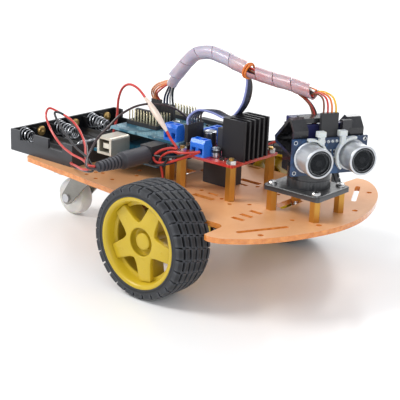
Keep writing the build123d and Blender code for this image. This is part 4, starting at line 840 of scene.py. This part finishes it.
def build_rim(side, sign):
    def put(part, shape, bevel=0.0):
        return shape.make(f"{side}_rim_{part}", "rim_yellow", "yellow_plastic",
                          f"{side}_wheel", bevel)

    axle = (0, 0, AXLE_Z)
    ring = put("ring", Shape().lathe(wheel_profile(RIM_PROFILE, sign), axle, "y", 160,
                                     closed=True))
    put("star", star_shape(side, sign))
    put("hub", Shape().lathe(wheel_profile(HUB_PROFILE, sign), axle, "y", 72))
    put("ribs", rib_shape(sign), bevel=0.15)
    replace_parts(ring, f"{side}_wheel_rim")


# ============================================================ power leads
# Wire routes are lists of (x, y, z), each followed by the wire's radius.
# the red lead that arches over the boards
ARCHED_LEAD = [
    (-92.6, -4.5, 52.0), (-91.0, -4.0, 64.0), (-88.1, -4.0, 75.8), (-85.9, -5.0, 87.6),
    (-81.3, -6.5, 95.0), (-74.0, -8.5, 99.0), (-63.5, -11.5, 98.7), (-52.7, -15.0, 94.0),
    (-41.0, -18.5, 87.3), (-30.4, -21.0, 79.7), (-26.7, -21.5, 75.9), (-21.6, -22.0, 71.4),
    (-25.6, -22.7, 71.0), (-33.7, -23.5, 67.6), (-37.6, -24.4, 63.2), (-35.0, -24.8, 61.0),
    (-28.4, -24.2, 61.8), (-19.2, -23.2, 65.4), (-10.7, -22.0, 69.4), (-6.6, -19.0, 71.9)]
SLEEVED = slice(6, 10)  # stretch of the arched lead that carries the clear sleeve
POWER_LEADS = {
    "red": [
        ([(-92.6, -39.0, 51.0), (-85.0, -46.5, 53.6), (-67.0, -59.5, 58.6), (-51.0, -68.0, 61.4),
          (-46.2, -68.6, 63.0), (-57.9, -61.4, 63.8), (-76.4, -54.0, 62.9), (-94.0, -47.0, 64.2),
          (-107.5, -42.6, 70.4), (-114.4, -40.0, 77.6), (-116.4, -35.5, 80.6),
          (-110.4, -33.0, 78.8), (-97.3, -34.0, 76.0), (-86.0, -38.0, 72.1), (-74.5, -45.0, 67.6),
          (-60.0, -58.0, 64.8), (-48.5, -67.6, 64.4), (-43.6, -66.2, 64.4)], 0.7),
        (ARCHED_LEAD, 0.78),
    ],
    "black": [
        ([(-92.6, -39.0, 49.2), (-84.0, -45.0, 51.2), (-65.0, -57.5, 56.4), (-49.6, -65.6, 60.0),
          (-45.6, -66.2, 61.6), (-57.1, -59.6, 65.4), (-74.6, -52.0, 66.6), (-92.4, -44.5, 70.8),
          (-104.6, -40.0, 76.4), (-110.4, -36.0, 79.2), (-107.6, -33.4, 78.6),
          (-96.5, -33.0, 73.2), (-86.0, -36.6, 69.4), (-75.5, -42.6, 65.6), (-62.0, -55.0, 62.6),
          (-48.5, -66.0, 62.4), (-43.6, -66.2, 62.8)], 0.7),
        ([(-11.2, -18.9, 71.9), (-14.7, -21.8, 69.4), (-22.0, -23.8, 66.6), (-30.6, -24.4, 64.9),
          (-38.6, -24.6, 64.1), (-43.4, -24.6, 61.6), (-39.7, -25.4, 59.2), (-33.3, -25.6, 59.4),
          (-27.9, -25.4, 61.6), (-25.4, -24.6, 66.0)], 0.75),
    ],
    "darkbrown": [
        ([(-41.4, -66.6, 63.2), (-46.0, -70.0, 64.0), (-52.6, -64.5, 66.4), (-59.0, -54.5, 69.4),
          (-63.0, -45.5, 73.5), (-61.3, -38.0, 79.8), (-57.9, -32.0, 86.4), (-53.5, -22.0, 91.2),
          (-47.0, -14.0, 92.2), (-39.1, -3.0, 88.6), (-32.0, 5.0, 79.0), (-28.6, 10.2, 72.6),
          (-25.2, 10.2, 72.0)], 0.7),
    ],
}
# short leads curling from the left front of the driver board
CURLED_LEADS = {
    "red": [(10.0, 24.6, 71.9), (12.5, 28.0, 73.6), (11.0, 34.0, 73.0), (4.0, 37.5, 70.0),
            (-6.0, 36.0, 67.6)],
    "black": [(5.0, 24.6, 71.9), (9.0, 29.5, 72.6), (9.5, 36.0, 71.6), (2.0, 39.5, 68.6),
              (-8.0, 38.0, 66.0)],
}


def motor_lead(sign, k):
    """Route from a motor's rear end up to the driver board; k = 1 is the second of a pair."""
    spread = 1.6 * k
    points = [(-56.0, sign * (MOTOR_Y - 5 + 10 * k), AXLE_Z),
              (-58.4 - 1.8 * k, sign * (26.0 + 2 * k), AXLE_Z + 2.5 - 1.8 * k),
              (-53.0 - 1.8 * k, sign * (17.5 + k), 37.5),
              (-42.0, sign * (15.0 + 1.8 * k), 38.8),
              (-35.4, sign * (17.2 + spread), 41.6),
              (-33.0, sign * (20.0 + spread), 46.0),
              (-33.4, sign * (21.0 + spread), 54.0),
              (-32.6, sign * (24.0 + spread), 63.0)]
    if sign < 0:
        return points + [(-24.0, -25.4, 69.4), (-13.0, -24.6, 70.9), (-6.46, -18.8, 71.9)]
    return points + [(-26.0, 28.0 + spread, 69.4), (-16.0, 29.0 + spread, 70.9),
                     (-11.54 + 2 * PIN_PITCH * k, 24.0, 71.9)]


def build_power_leads():
    leads = {color: list(items) for color, items in POWER_LEADS.items()}
    for sign, k, color in ((-1, 0, "red"), (1, 0, "red"), (1, 1, "black")):
        leads[color].append((motor_lead(sign, k), 0.7))
    for color, points in CURLED_LEADS.items():
        leads[color].append((points, 0.7))
    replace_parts(wires("power_lead", leads, "lead_insulation")[0], "power_leads")


# ========================================================= wrapped bundle
BUNDLE = frames(spline([
    (-47.4, 0, 102.6), (-44.6, 0, 106.6), (-41.2, 0, 110.6), (-37.1, 0, 114.9),
    (-33.2, 0, 119.2), (-29.2, 0, 122.6), (-24.0, 0, 124.8), (-16.1, 0, 125.8),
    (-6.5, 0, 124.4), (1.5, 0, 122.4), (8.5, 0, 120.7), (13.5, 0, 119.2), (20.7, 0, 118.4),
    (28.4, 0, 117.4), (36.0, 0, 117.0), (43.4, 0, 116.2), (57.0, 0, 114.2)], 0.8))
BUNDLE_PATH, BUNDLE_NORMAL, BUNDLE_BINORMAL = BUNDLE
# distance along the path at each of its points
BUNDLE_LENGTH = np.concatenate(
    [[0], np.cumsum(np.linalg.norm(np.diff(BUNDLE_PATH, axis=0), axis=1))])
BREAK_X = 10.9          # where the rear wrap ends and the front one starts
WRAP_PITCH = 12.5       # length taken by a turn
WRAP_THICKNESS = 0.7
# the first wire runs down the middle, the other seven twist round it
TWISTED_COLORS = ["orange", "red", "brown", "darkblue", "violet", "orange", "white", "black"]


def build_twisted_wires():
    groups = {}
    for i, color in enumerate(TWISTED_COLORS):
        radius = 1.75 if i else 0.0
        points = []
        for j in range(0, len(BUNDLE_PATH), 3):
            a = 2 * math.pi * i / 7 + BUNDLE_LENGTH[j] * 0.055
            spoke = math.cos(a) * BUNDLE_NORMAL[j] + math.sin(a) * BUNDLE_BINORMAL[j]
            points.append(BUNDLE_PATH[j] + radius * spoke)
        groups.setdefault(color, []).append((points, 0.62))
    wires("wrapped_wire", groups, "jumper_insulation")


def build_wrap(name, start, end, cover, radius):
    """Flat strip wound round the bundle between two lengths; cover is its share of a turn."""
    turns = (end - start) / WRAP_PITCH
    steps = int(turns * 40)
    strips = 6          # faces across the strip
    shape = Shape()
    vertices, faces = [], []
    indices = np.arange(len(BUNDLE_LENGTH))
    for i in range(steps + 1):
        u = i / steps
        phi = u * turns * 2 * math.pi
        for inward in (0.0, WRAP_THICKNESS):
            for k in range(strips + 1):
                across = k / strips - 0.5
                along = start + u * (end - start) + across * WRAP_PITCH * cover
                at = np.interp(min(max(along, start), end), BUNDLE_LENGTH, indices)
                j = min(int(at), len(BUNDLE_PATH) - 2)
                t = at - j
                centre, normal, binormal = (row[j] * (1 - t) + row[j + 1] * t for row in BUNDLE)
                curl = 0.18 * (abs(across) * 2) ** 3
                spoke = math.cos(phi) * normal + math.sin(phi) * binormal
                vertices.append(centre + (radius + curl - inward) * spoke)
    inner = strips + 1  # index of the first point on the inner face
    row = 2 * inner
    for o in range(0, steps * row, row):
        q = o + row
        for k in range(strips):
            faces.append((o + k, q + k, q + k + 1, o + k + 1))
            faces.append((o + inner + k, o + inner + k + 1, q + inner + k + 1, q + inner + k))
        faces.append((o, o + inner, q + inner, q))
        faces.append((o + strips, q + strips, q + row - 1, o + row - 1))
    faces.append(tuple(range(inner)) + tuple(range(row - 1, strips, -1)))
    end_row = steps * row
    faces.append(tuple(end_row + k for k in (*range(strips, -1, -1), *range(inner, row))))
    return shape.add(vertices, faces).make(name, "wrap_plastic", "wrap_plastic")


def build_wraps():
    middle = float(np.interp(BREAK_X, BUNDLE_PATH[:, 0], BUNDLE_LENGTH))
    rear = build_wrap("spiral_wrap_rear", 0.6, middle - 1.0, cover=0.965, radius=3.95)
    build_wrap("spiral_wrap_front", middle + 1.6, BUNDLE_LENGTH[-1] - 0.6, cover=0.945,
               radius=3.75)
    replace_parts(rear, "spiral_wrap")


# =========================================================== jumper wires
# from the plugs on the shield up into the rear end of the bundle
SHIELD_JUMPERS = {
    "paleorange": [
        ([(-79.0, 20, 85.0), (-79.6, 19.0, 87.6), (-75.0, 14.0, 92.6), (-65.4, 8.0, 98.4),
          (-55.0, 3.2, 102.4), (-47.0, 0.9, 105.4), (-42.5, 0.4, 109.8)], 0.62),
        ([(-77.4, 20, 85.0), (-77.2, 18.6, 87.8), (-72.6, 13.0, 92.6), (-63.4, 7.0, 98.0),
          (-53.6, 2.2, 101.8), (-46.2, -0.2, 104.8), (-42.0, -0.4, 109.4)], 0.62)],
    "orange": [
        ([(-75.6, 20, 85.0), (-75.0, 18.0, 87.8), (-70.0, 12.0, 92.4), (-61.6, 6.0, 97.2),
          (-52.4, 1.0, 101.2), (-45.6, -1.2, 104.6), (-41.6, -1.0, 109.0)], 0.62)],
    "red": [
        ([(-73.6, 20, 85.0), (-72.8, 17.0, 87.8), (-68.0, 11.0, 91.8), (-59.6, 5.0, 96.4),
          (-51.4, -0.2, 100.6), (-45.0, -1.8, 104.4), (-41.4, -1.4, 109.0)], 0.62)],
    "darkblue": [
        ([(-67.3, 17, 84.4), (-66.4, 16.4, 88.6), (-60.4, 12.4, 95.4), (-51.6, 5.4, 101.8),
          (-44.6, 1.7, 106.8), (-40.8, 1.2, 111.2)], 0.66),
        ([(-64.8, 17, 84.4), (-64.0, 16.2, 88.6), (-58.2, 11.6, 94.8), (-50.0, 4.4, 101.0),
          (-43.8, 0.9, 106.0), (-40.2, 0.6, 110.8)], 0.66)],
    "white": [
        ([(-62.2, 17, 84.4), (-61.6, 16.0, 88.2), (-56.2, 10.8, 94.2), (-48.6, 3.6, 100.2),
          (-43.2, 0.2, 105.0), (-39.8, 0.1, 110.4)], 0.62)],
    "black": [
        ([(-59.7, 17, 84.4), (-59.2, 15.8, 88.0), (-54.2, 10.0, 93.6), (-47.2, 2.8, 99.4),
          (-42.6, -0.5, 104.2), (-39.4, -0.5, 110.0)], 0.66)],
}
DRIVER_JUMPER_COLORS = ["lilac", "darkblue", "navy", "navy", "black", "darkbrown"]
DRIVER_PIN_Y = -10.8    # first driver jumper; the others follow towards +Y
DRIVER_PIN_STEP = 2.4
# rows of plug housings: (count, x0, y0, y1, height above the shield, top z)
HOUSINGS = [(3, -80.1, 18.73, 21.27, 2.6, 85.4), (4, -68.6, 15.7, 18.2, 2.7, 84.6)]


def build_driver_jumpers():
    """A ribbon of six wires from the driver board up to the break in the wrap."""
    groups = {}
    for i, color in enumerate(DRIVER_JUMPER_COLORS):
        y = DRIVER_PIN_Y + DRIVER_PIN_STEP * i
        place = i - 2.5  # from the ribbon's middle
        w = place * 1.16
        groups.setdefault(color, []).append((
            [(-23.35, y, 83.0), (-23.9, y + 0.5, 87.2), (-22.2, 1.2 + y * 0.45, 90.6 - 0.25 * place),
             (-16.6, 5.6 + w * 1.1, 90.0), (-9.4, 7.0 + w, 87.9), (-4.6, 6.6 + w, 87.9),
             (-1.2, 6.2 + w, 90.2), (3.0, 5.6 + w, 94.6), (6.4, 5.0 + w, 99.8),
             (8.6, 4.2 + w * 0.95, 106.0), (9.7, 3.0 + w * 0.75, 111.2),
             (10.6, 1.0 + w * 0.45, 115.6), (11.0, 0.2 + w * 0.3, 118.6)], 0.62))
    wires("driver_jumper", groups, "jumper_insulation")


def build_tie_wire():
    """Two loops of wire round the bundle at the break in the wrap."""
    radius, centre_z = 4.15, 119.6
    loop = []
    for i in range(40):
        a = 2 * math.pi * i / 39 * 1.2 + 0.4
        loop.append((11.0 + 1.1 * math.sin(a + 0.6), radius * math.cos(a),
                     centre_z + radius * math.sin(a)))
    second = [(x + 1.5, y * 0.96, 119.2 + (z - centre_z) * 0.96) for x, y, z in loop[6:34]]
    shape = Shape().tube(spline(loop, 0.6), 0.62)
    shape.tube(spline(second, 0.6), 0.6)
    shape.make("wrap_tie_wire", "wire_orange", "jumper_insulation")


def build_housings():
    shape = Shape()
    for count, x0, y0, y1, lift, top in HOUSINGS:
        for k in range(count):
            x = x0 + PIN_PITCH * k
            shape.box(x + 0.05, x + PIN_PITCH - 0.05, y0, y1, SHIELD_TOP + lift, top)
    shape.make("jumper_housings", "header_black", "black_plastic", bevel=0.18)


# ====================================================== pan and tilt head
# Head coordinates are (n, t, z): n forward and t to the left, turned with the head about
# the pan axis, z as in the world.
PAN_X, PAN_Y = 55.5, 2.0
YAW = math.radians(-27.8)
COS_YAW, SIN_YAW = math.cos(YAW), math.sin(YAW)
BOARD_N = 18.6          # front face of the sensor board
BOARD_T = 1.43          # its middle
BOARD_Z = 83.6
EYE_SPACING = 13.0      # each transducer from the board's middle
SCREEN_RADIUS = 6.0
# turned parts of a transducer: (part, material, n from the board, segments, (radius, n) points)
EYE_PARTS = [
    ("cone", "dark_cone", 12.3, 40,
     [(0, 0.0), (1.6, 0.0), (1.9, -0.3), (2.3, -0.3), (4.6, -0.9), (5.9, -0.95)]),
    ("hub", "cone_hub", 12.3, 32, [(0, 0.16), (0.9, 0.14), (1.55, 0.05), (1.75, -0.12)]),
    ("flange", "can_metal", 0.0, 64,
     [(7.95, 0.25), (8.55, 0.3), (8.66, 0.5), (8.6, 0.8), (8.35, 0.98), (8.02, 1.05)]),
    ("lip", "can_metal", 0.0, 64,
     [(6.92, 12.9), (6.95, 13.28), (7.12, 13.46), (7.45, 13.5), (7.85, 13.36), (8.12, 13.0),
      (8.18, 12.5), (8.1, 12.1), (7.95, 11.9)]),
    ("well", "dark_cone", 0.0, 64,
     [(5.9, 11.5), (5.96, 13.0), (6.15, 13.16), (6.6, 13.2), (7.0, 13.16)]),
]


def on_head(point):
    """World place of a point in head coordinates."""
    n, t, z = point
    return (PAN_X + n * COS_YAW - t * SIN_YAW, PAN_Y + n * SIN_YAW + t * COS_YAW, z)


def build_sensor_cable():
    """Four wires, each cut in two where it passes 9 mm ahead of the pan axis."""
    rear, front = {}, {}
    for k, color in enumerate(("brown", "red", "orange", "yellow")):
        place = k - 1.5
        path = spline([
            (55.0, place * 1.1, 113.7 + 0.6 * (k % 2)),
            (60.6, place * 1.5 - 0.3, 114.6 + 0.3 * k),
            on_head((BOARD_N - 6.6, BOARD_T + place * 2.0, 113.2 + 0.25 * k)),
            on_head((BOARD_N - 3.9, BOARD_T + place * 2.4, 110.0)),
            on_head((BOARD_N - 3.5, BOARD_T + PIN_PITCH * place, 106.0))], 0.7)
        cut = next(i for i, p in enumerate(path)
                   if (p[0] - PAN_X) * COS_YAW + (p[1] - PAN_Y) * SIN_YAW > 9.0)
        rear[color], front[color] = path[:cut + 1], path[cut:]

    def put(name, color, path):
        return Shape().tube(path, 0.55).make(f"{name}_{color}", "wire_" + color,
                                             "signal_insulation", body=None)

    for color, path in rear.items():
        ob = put("sensor_cable_rear", color, path)
        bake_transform(ob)
        if color == "brown":
            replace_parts(ob, "sensor_cable")
    for color, path in front.items():
        ob = put("sensor_cable_front", color, path)
        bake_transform(ob)


def build_servo_cable():
    for k, color in enumerate(("brown", "red", "darkbrown")):
        spread = (k - 1) * 1.1
        path = spline([(47.5, -1.2 + spread * 0.5, 112.4), (51.0, -1.0 + spread * 0.8, 110.8),
                       (55.0, -0.8 + spread * 0.9, 107.8),
                       on_head((2.6, -1.4 + spread, 104.2)),
                       on_head((4.2, -1.4 + spread, 101.4)),
                       on_head((4.2, -1.4 + spread, 99.3))], 0.7)
        ob = Shape().tube(path, 0.55).make(f"servo_cable_{color}", "wire_" + color,
                                           "jumper_insulation", body=None)
        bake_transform(ob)


def screen_shape(centre_t):
    """Domed round screen of crossed wires."""
    shape = Shape()
    count = 17          # wires each side of the middle one
    steps = 12
    for k in range(-count, count + 1):
        offset = k * SCREEN_RADIUS / (count + 0.5)
        half = math.sqrt(max(0.0, SCREEN_RADIUS ** 2 - offset * offset))
        if half < 0.6:
            continue
        for upright in (False, True):
            points = []
            for j in range(steps + 1):
                along = -half + 2 * half * j / steps
                a, b = (offset, along) if upright else (along, offset)
                dome = 0.55 * (1 - (a * a + b * b) / SCREEN_RADIUS ** 2)
                points.append(on_head((BOARD_N + 12.05 + dome, centre_t + a, BOARD_Z + b)))
            shape.tube(points, 0.09, sides=4, caps=False)
    return shape


def build_eyes():
    for side, sign in SIDES:
        centre_t = BOARD_T + sign * EYE_SPACING
        screen_shape(centre_t).make(f"sensor_screen_{side}", "screen_mesh", "can_aluminium",
                                    "tilt_head")
        for part, material, n, segments, profile in EYE_PARTS:
            shape = Shape().lathe(profile, (BOARD_N + n, centre_t, BOARD_Z), "x", segments,
                                  place=on_head)
            shape.make(f"sensor_{part}_{side}", material, "can_aluminium", "tilt_head")


def build_sensor_board_parts():
    solder, chips = Shape(), Shape()
    for a in (-1, 1):
        for b in (-1, 1):
            solder.lathe([(0.82, 0.0), (1.12, 0.02), (1.12, 0.06), (0.82, 0.06)],
                         (BOARD_N, BOARD_T + a * 20.8, BOARD_Z + b * 8.3), "x", 20,
                         place=on_head)
    for k in range(4):
        solder.lathe([(0, 0.7), (0.35, 0.65), (0.75, 0.05), (0.9, 0.0)],
                     (BOARD_N, BOARD_T + PIN_PITCH * (k - 1.5), BOARD_Z + 8.0), "x", 12,
                     place=on_head)
    # a row of five small parts with a solder end below and above each
    for k in range(5):
        t = BOARD_T - 4.6 + 2.1 * k
        for z in (BOARD_Z + 1.0, BOARD_Z + 3.0):
            solder.box(BOARD_N, BOARD_N + 0.5, t, t + 0.9, z, z + 0.6, on_head)
        chips.box(BOARD_N, BOARD_N + 0.55, t + 0.1, t + 0.8, BOARD_Z + 1.6, BOARD_Z + 3.0,
                  on_head)
    chips.box(BOARD_N, BOARD_N + 1.0, BOARD_T - 2.6, BOARD_T + 2.6, BOARD_Z - 3.4,
              BOARD_Z - 1.2, on_head)
    solder.make("sensor_solder", "solder", "can_aluminium", "tilt_head", bevel=0.05)
    chips.make("sensor_chips", "smd_body", "black_plastic", "tilt_head", bevel=0.08)


# ============================================================ board parts
# driver capacitors: (x, y, radius, height)
DRIVER_CAPACITORS = [(-14.5, -0.5, 4.0, 11.0), (-0.9, -11.0, 2.9, 5.4)]
# parts with two metal ends: (half length, half width, height,
#                             half length with ends, half width of ends, height of ends)
DIODE = (1.4, 0.8, 1.3, 1.9, 0.7, 0.8)
SMALL_PART = (0.9, 0.55, 0.7, 1.25, 0.55, 0.6)
SHIELD_PART = (1.1, 0.65, 0.8, 1.5, 0.65, 0.7)
SMALL_PLACES = [(-15.0, 14.0), (9.0, -12.6), (4.9, -13.5), (9.5, 17.6), (4.2, -9.4),
                (5.0, -6.6), (-8.0, 3.6), (-4.6, 6.0)]
SHIELD_PLACES = [(-56.0, 30.0), (-40.0, 30.5), (-74.0, 26.0), (-70.0, 30.0), (-45.0, 34.0),
                 (-40.6, 12.0), (-48.0, 4.0)]
# black header strips on the shield: (x0, x1, y0, y1)
SHIELD_STRIPS = [(-84.0, -66.4, 0.6, 8.2), (-66.2, -58.6, 0.6, 18.2), (-82.0, -59.0, 34.0, 41.6)]
STRIP_PITCH = 2.5
PIN_HALF = 0.33         # half the width of a square pin
STANDOFFS = [(14.5, -16.0), (-22.5, -16.0), (14.5, 21.0), (-22.5, 21.0)]  # (x, y)


def build_capacitor_tops():
    shape = Shape()
    for x, y, r, top in DRIVER_CAPACITORS:
        shape.lathe([(0, top + 0.12), (r * 0.62, top + 0.12), (r * 0.66, top + 0.2),
                     (r * 0.85, top + 0.14), (r - 0.1, top - 0.05), (r + 0.05, top - 0.4),
                     (r + 0.05, top - 0.8), (r - 0.3, top - 0.95)], (x, y, DRIVER_TOP), "z", 36)
    shape.lathe([(2.6, 3.0), (2.98, 2.9), (3.0, 0.4), (2.7, 0.1)],
                (*DRIVER_CAPACITORS[1][:2], DRIVER_TOP), "z", 30)
    shape.make("capacitor_tops", "cap_metal", "capacitor_can")
    shape = Shape()
    for centre in ((-45.0, 20.0, SHIELD_TOP), (-52.5, 12.0, SHIELD_TOP - 1.5)):
        shape.lathe([(0, 7.15), (1.8, 7.15), (2.3, 7.05), (2.64, 6.7)], centre, "z", 30)
    shape.make("shield_capacitor_tops", "cap_metal", "capacitor_can")


def build_diodes():
    bodies, ends = Shape(), Shape()

    def put(x, y, z, size):
        length, width, height, end_length, end_width, end_height = size
        bodies.box(x - length, x + length, y - width, y + width, z, z + height)
        for x0, x1 in ((x - end_length, x - length), (x + length, x + end_length)):
            ends.box(x0, x1, y - end_width, y + end_width, z, z + end_height)

    # taken places of a 5 mm row along each side of the driver board
    for k in (0, 1, 4):
        for y in (-14.2, 22.0):
            put(-14.0 + 5.0 * k, y, DRIVER_TOP, DIODE)
    for x, y in SMALL_PLACES:
        put(x, y, DRIVER_TOP, SMALL_PART)
    for x, y in SHIELD_PLACES:
        put(x, y, SHIELD_TOP, SHIELD_PART)
    bodies.make("board_diodes", "smd_body", "black_plastic", bevel=0.1)
    ends.make("board_diode_ends", "solder", "steel", bevel=0.05)


def build_header_pins():
    shape = Shape()
    for x0, x1, y0, y1 in SHIELD_STRIPS:
        for i in range(int((x1 - x0) / STRIP_PITCH)):
            for j in range(int((y1 - y0) / STRIP_PITCH)):
                x, y = x0 + 1.3 + STRIP_PITCH * i, y0 + 1.3 + STRIP_PITCH * j
                shape.box(x - PIN_HALF, x + PIN_HALF, y - PIN_HALF, y + PIN_HALF,
                          SHIELD_TOP + 2.4, SHIELD_TOP + 8.56)
    for k in range(6):
        y = -11.0 + DRIVER_PIN_STEP * k
        shape.box(-23.7, -23.0, y - PIN_HALF, y + PIN_HALF, DRIVER_TOP + 2.5, DRIVER_TOP + 4.45)
    shape.make("header_pins", "pin_metal", "brass", bevel=0.12)


def mesh_islands(mesh):
    """Points of each connected part of a mesh, in millimetres."""
    islands = []
    bm = bmesh.new()
    bm.from_mesh(mesh)
    bm.verts.ensure_lookup_table()
    seen = set()
    for first in bm.verts:
        if first.index in seen:
            continue
        stack, island = [first], []
        seen.add(first.index)
        while stack:
            vert = stack.pop()
            island.append(tuple(vert.co / MM))
            for edge in vert.link_edges:
                other = edge.other_vert(vert)
                if other.index not in seen:
                    seen.add(other.index)
                    stack.append(other)
        islands.append(np.array(island))
    bm.free()
    return islands


def build_springs():
    """Narrowing coils in place of the loaded cell springs, one for each place across y."""
    clusters = {}
    for island in mesh_islands(nodes["battery_springs"].data):
        y = island[:, 1]
        clusters.setdefault(round(float((y.min() + y.max()) / 2) / 3.0), []).append(island)
    shape = Shape()
    turns, steps = 4.0, 104
    for key in sorted(clusters):
        points = np.concatenate(clusters[key])
        low, high = points.min(axis=0), points.max(axis=0)
        _, y, z = (low + high) / 2
        x, direction = (low[0], 1) if low[0] < -120 else (high[0], -1)
        coil = []
        for i in range(steps + 1):
            u = i / steps
            radius = 5.1 - 2.1 * u ** 1.1
            a = 2 * math.pi * turns * u
            reach = 0.55 + 8.8 * max(0.0, (u - 0.08) / 0.92) ** 1.05
            coil.append((x + direction * reach, y + radius * math.cos(a),
                         z + radius * math.sin(a)))
        shape.tube(coil, 0.44, sides=8)
    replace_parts(shape.make("cell_springs", "spring_steel", "steel"), "battery_springs")


def build_switch_tabs():
    shape = Shape()
    for x in (-16.5, -10.0):
        shape.box(x - 2.4, x + 2.4, 7.1, 7.9, 59.9, 64.55)
    shape.make("switch_tabs", "nickel", "steel", bevel=0.15)


def build_lead_sleeve():
    """Clear sleeve, widest at its middle, on the arched lead."""
    path = spline(ARCHED_LEAD[SLEEVED], 0.8)
    path = path[int(len(path) * 0.28):]
    shape = Shape().tube(
        path, lambda u: 0.95 + 1.05 * math.sin(math.pi * min(1.0, u * 1.02)) ** 1.1, sides=20)
    shape.make("lead_sleeve", "heat_shrink", "lead_insulation")


def build_motor_straps():
    """Clear straps round the motors, flattened on the sides."""
    for side, sign in SIDES:
        rows = []
        for i in range(64):
            a = 2 * math.pi * i / 64
            y = max(-7.85, min(7.85, 10.35 * math.cos(a)))
            z = 10.35 * math.sin(a)
            rows.append([(x, sign * MOTOR_Y + y * k, AXLE_Z + z * k)
                         for x, k in ((-35.0, 1.0), (-30.0, 1.0), (-30.0, 1.06), (-35.0, 1.06))])
        Shape().rings(rows, closed=True).make(f"motor_strap_{side}", "tie_nylon", "tie_nylon")


def build_stud_threads():
    """Five ridges at the top of each driver standoff's stud."""
    top = DRIVER_TOP + 3.5
    pitch = 0.25
    profile = [(0.0, top), (1.2, top)]
    for k in range(5):
        z = top - pitch * k
        profile += [(1.47, z - 0.12), (1.25, z - pitch)]
    shape = Shape()
    for x, y in STANDOFFS:
        shape.lathe(profile, (x, y, 0), "z", 24)
    shape.make("stud_threads", "stud_brass", "brass")


# ================================ floor, world, lights and camera (metres)
# area lights: (name, place, target, (width, height), power, colour)
LIGHTS = [
    ("key", (-0.75, -0.75, 1.0), (0, 0, 0.05), (0.5, 0.5), 12.5, (1.0, 0.985, 0.96)),
    ("fill", (0.75, -0.55, 0.45), (0, 0, 0.06), (0.7, 0.5), 3.0, (0.95, 0.97, 1.0)),
    ("back", (-0.2, 0.9, 0.7), (0, 0, 0.08), (0.8, 0.4), 5.0, (1, 1, 1)),
]
FLOOR_HALF = 6.0
CAMERA_PLACE = (0.3659, -0.4667, 0.2320)
CAMERA_AZIMUTH = math.radians(39.64)
CAMERA_DROP = math.radians(17.99)  # downward tilt of the view
CAMERA_ROLL = math.radians(2.25)


def build_floor():
    """Near white floor that glows more with distance."""
    shader = Shader("studio_floor")
    tone = shader.noise(scale=9, detail=2.0)
    shader.set("Base Color", shader.ramp(
        tone, [(0.3, (0.93, 0.93, 0.93)), (0.7, (0.955, 0.955, 0.955))]))
    shader.set("Roughness", 0.22)
    shader.set("Specular IOR Level", 0.35)
    distance = shader.node("ShaderNodeVectorMath", operation="LENGTH")
    shader.link(shader.coords, distance.inputs[0])
    shader.set("Emission Color", (1.0, 1.0, 1.0))
    shader.set("Emission Strength", shader.remap(distance.outputs["Value"], over=(0.32, 1.1),
                                                 to=(0.0, 0.6)))
    s = FLOOR_HALF
    mesh = bpy.data.meshes.new("floor")
    mesh.from_pydata([(-s, -s, 0), (s, -s, 0), (s, s, 0), (-s, s, 0)], [], [(0, 1, 2, 3)])
    ob = bpy.data.objects.new("studio_floor", mesh)
    scene.collection.objects.link(ob)
    mesh.materials.append(MATERIALS["studio_floor"])


def build_world():
    """White to faint blue upwards, brighter to the camera than to the scene."""
    world = bpy.data.worlds.new("studio")
    scene.world = world
    world.use_nodes = True
    tree = world.node_tree
    background = tree.nodes["Background"]
    coords = tree.nodes.new("ShaderNodeTexCoord")
    split = tree.nodes.new("ShaderNodeSeparateXYZ")
    tree.links.new(coords.outputs["Generated"], split.inputs[0])
    ramp = tree.nodes.new("ShaderNodeValToRGB")
    ramp.color_ramp.elements[0].color = (1.0, 1.0, 1.0, 1)
    ramp.color_ramp.elements[1].color = (0.92, 0.95, 1.0, 1)
    tree.links.new(split.outputs["Z"], ramp.inputs["Fac"])
    tree.links.new(ramp.outputs["Color"], background.inputs["Color"])
    rays = tree.nodes.new("ShaderNodeLightPath")
    strength = tree.nodes.new("ShaderNodeMapRange")
    tree.links.new(rays.outputs["Is Camera Ray"], strength.inputs["Value"])
    strength.inputs["To Min"].default_value = 0.7
    strength.inputs["To Max"].default_value = 1.05
    tree.links.new(strength.outputs["Result"], background.inputs["Strength"])


def build_lights():
    for name, place, target, size, power, color in LIGHTS:
        light = bpy.data.lights.new(name, "AREA")
        light.shape = "RECTANGLE"
        light.size, light.size_y = size
        light.energy = power
        light.color = color
        ob = bpy.data.objects.new(name, light)
        scene.collection.objects.link(ob)
        ob.location = place
        aim = Vector(target) - Vector(place)
        ob.rotation_euler = aim.to_track_quat("-Z", "Y").to_euler()


def build_camera():
    azimuth, drop, roll = CAMERA_AZIMUTH, CAMERA_DROP, CAMERA_ROLL
    forward = Vector((-math.sin(azimuth) * math.cos(drop), math.cos(azimuth) * math.cos(drop),
                      -math.sin(drop)))
    level = Vector((math.cos(azimuth), math.sin(azimuth), 0))
    upright = level.cross(forward)
    right = level * math.cos(roll) + upright * math.sin(roll)
    up = -level * math.sin(roll) + upright * math.cos(roll)
    data = bpy.data.cameras.new("camera")
    camera = bpy.data.objects.new("camera", data)
    scene.collection.objects.link(camera)
    data.sensor_width = 36.0
    data.sensor_fit = "HORIZONTAL"
    data.lens = 94.473
    data.clip_start = 0.01
    data.clip_end = 50.0
    rows = [(r, u, -f, p) for r, u, f, p in zip(right, up, forward, CAMERA_PLACE)]
    camera.matrix_world = Matrix(rows + [(0, 0, 0, 1)])
    scene.camera = camera


finish_nodes()
for build_part in (build_tyre, build_rim):
    for side_name, side_sign in SIDES:
        build_part(side_name, side_sign)
build_power_leads()
build_twisted_wires()
build_wraps()
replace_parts(wires("shield_jumper", SHIELD_JUMPERS, "jumper_insulation")[0], "jumper_wires")
build_driver_jumpers()
build_tie_wire()
build_housings()
build_sensor_cable()
build_servo_cable()
build_eyes()
build_sensor_board_parts()
build_capacitor_tops()
build_diodes()
build_header_pins()
build_springs()
build_switch_tabs()
build_lead_sleeve()
build_motor_straps()
build_stud_threads()
build_floor()
build_world()
build_lights()
build_camera()
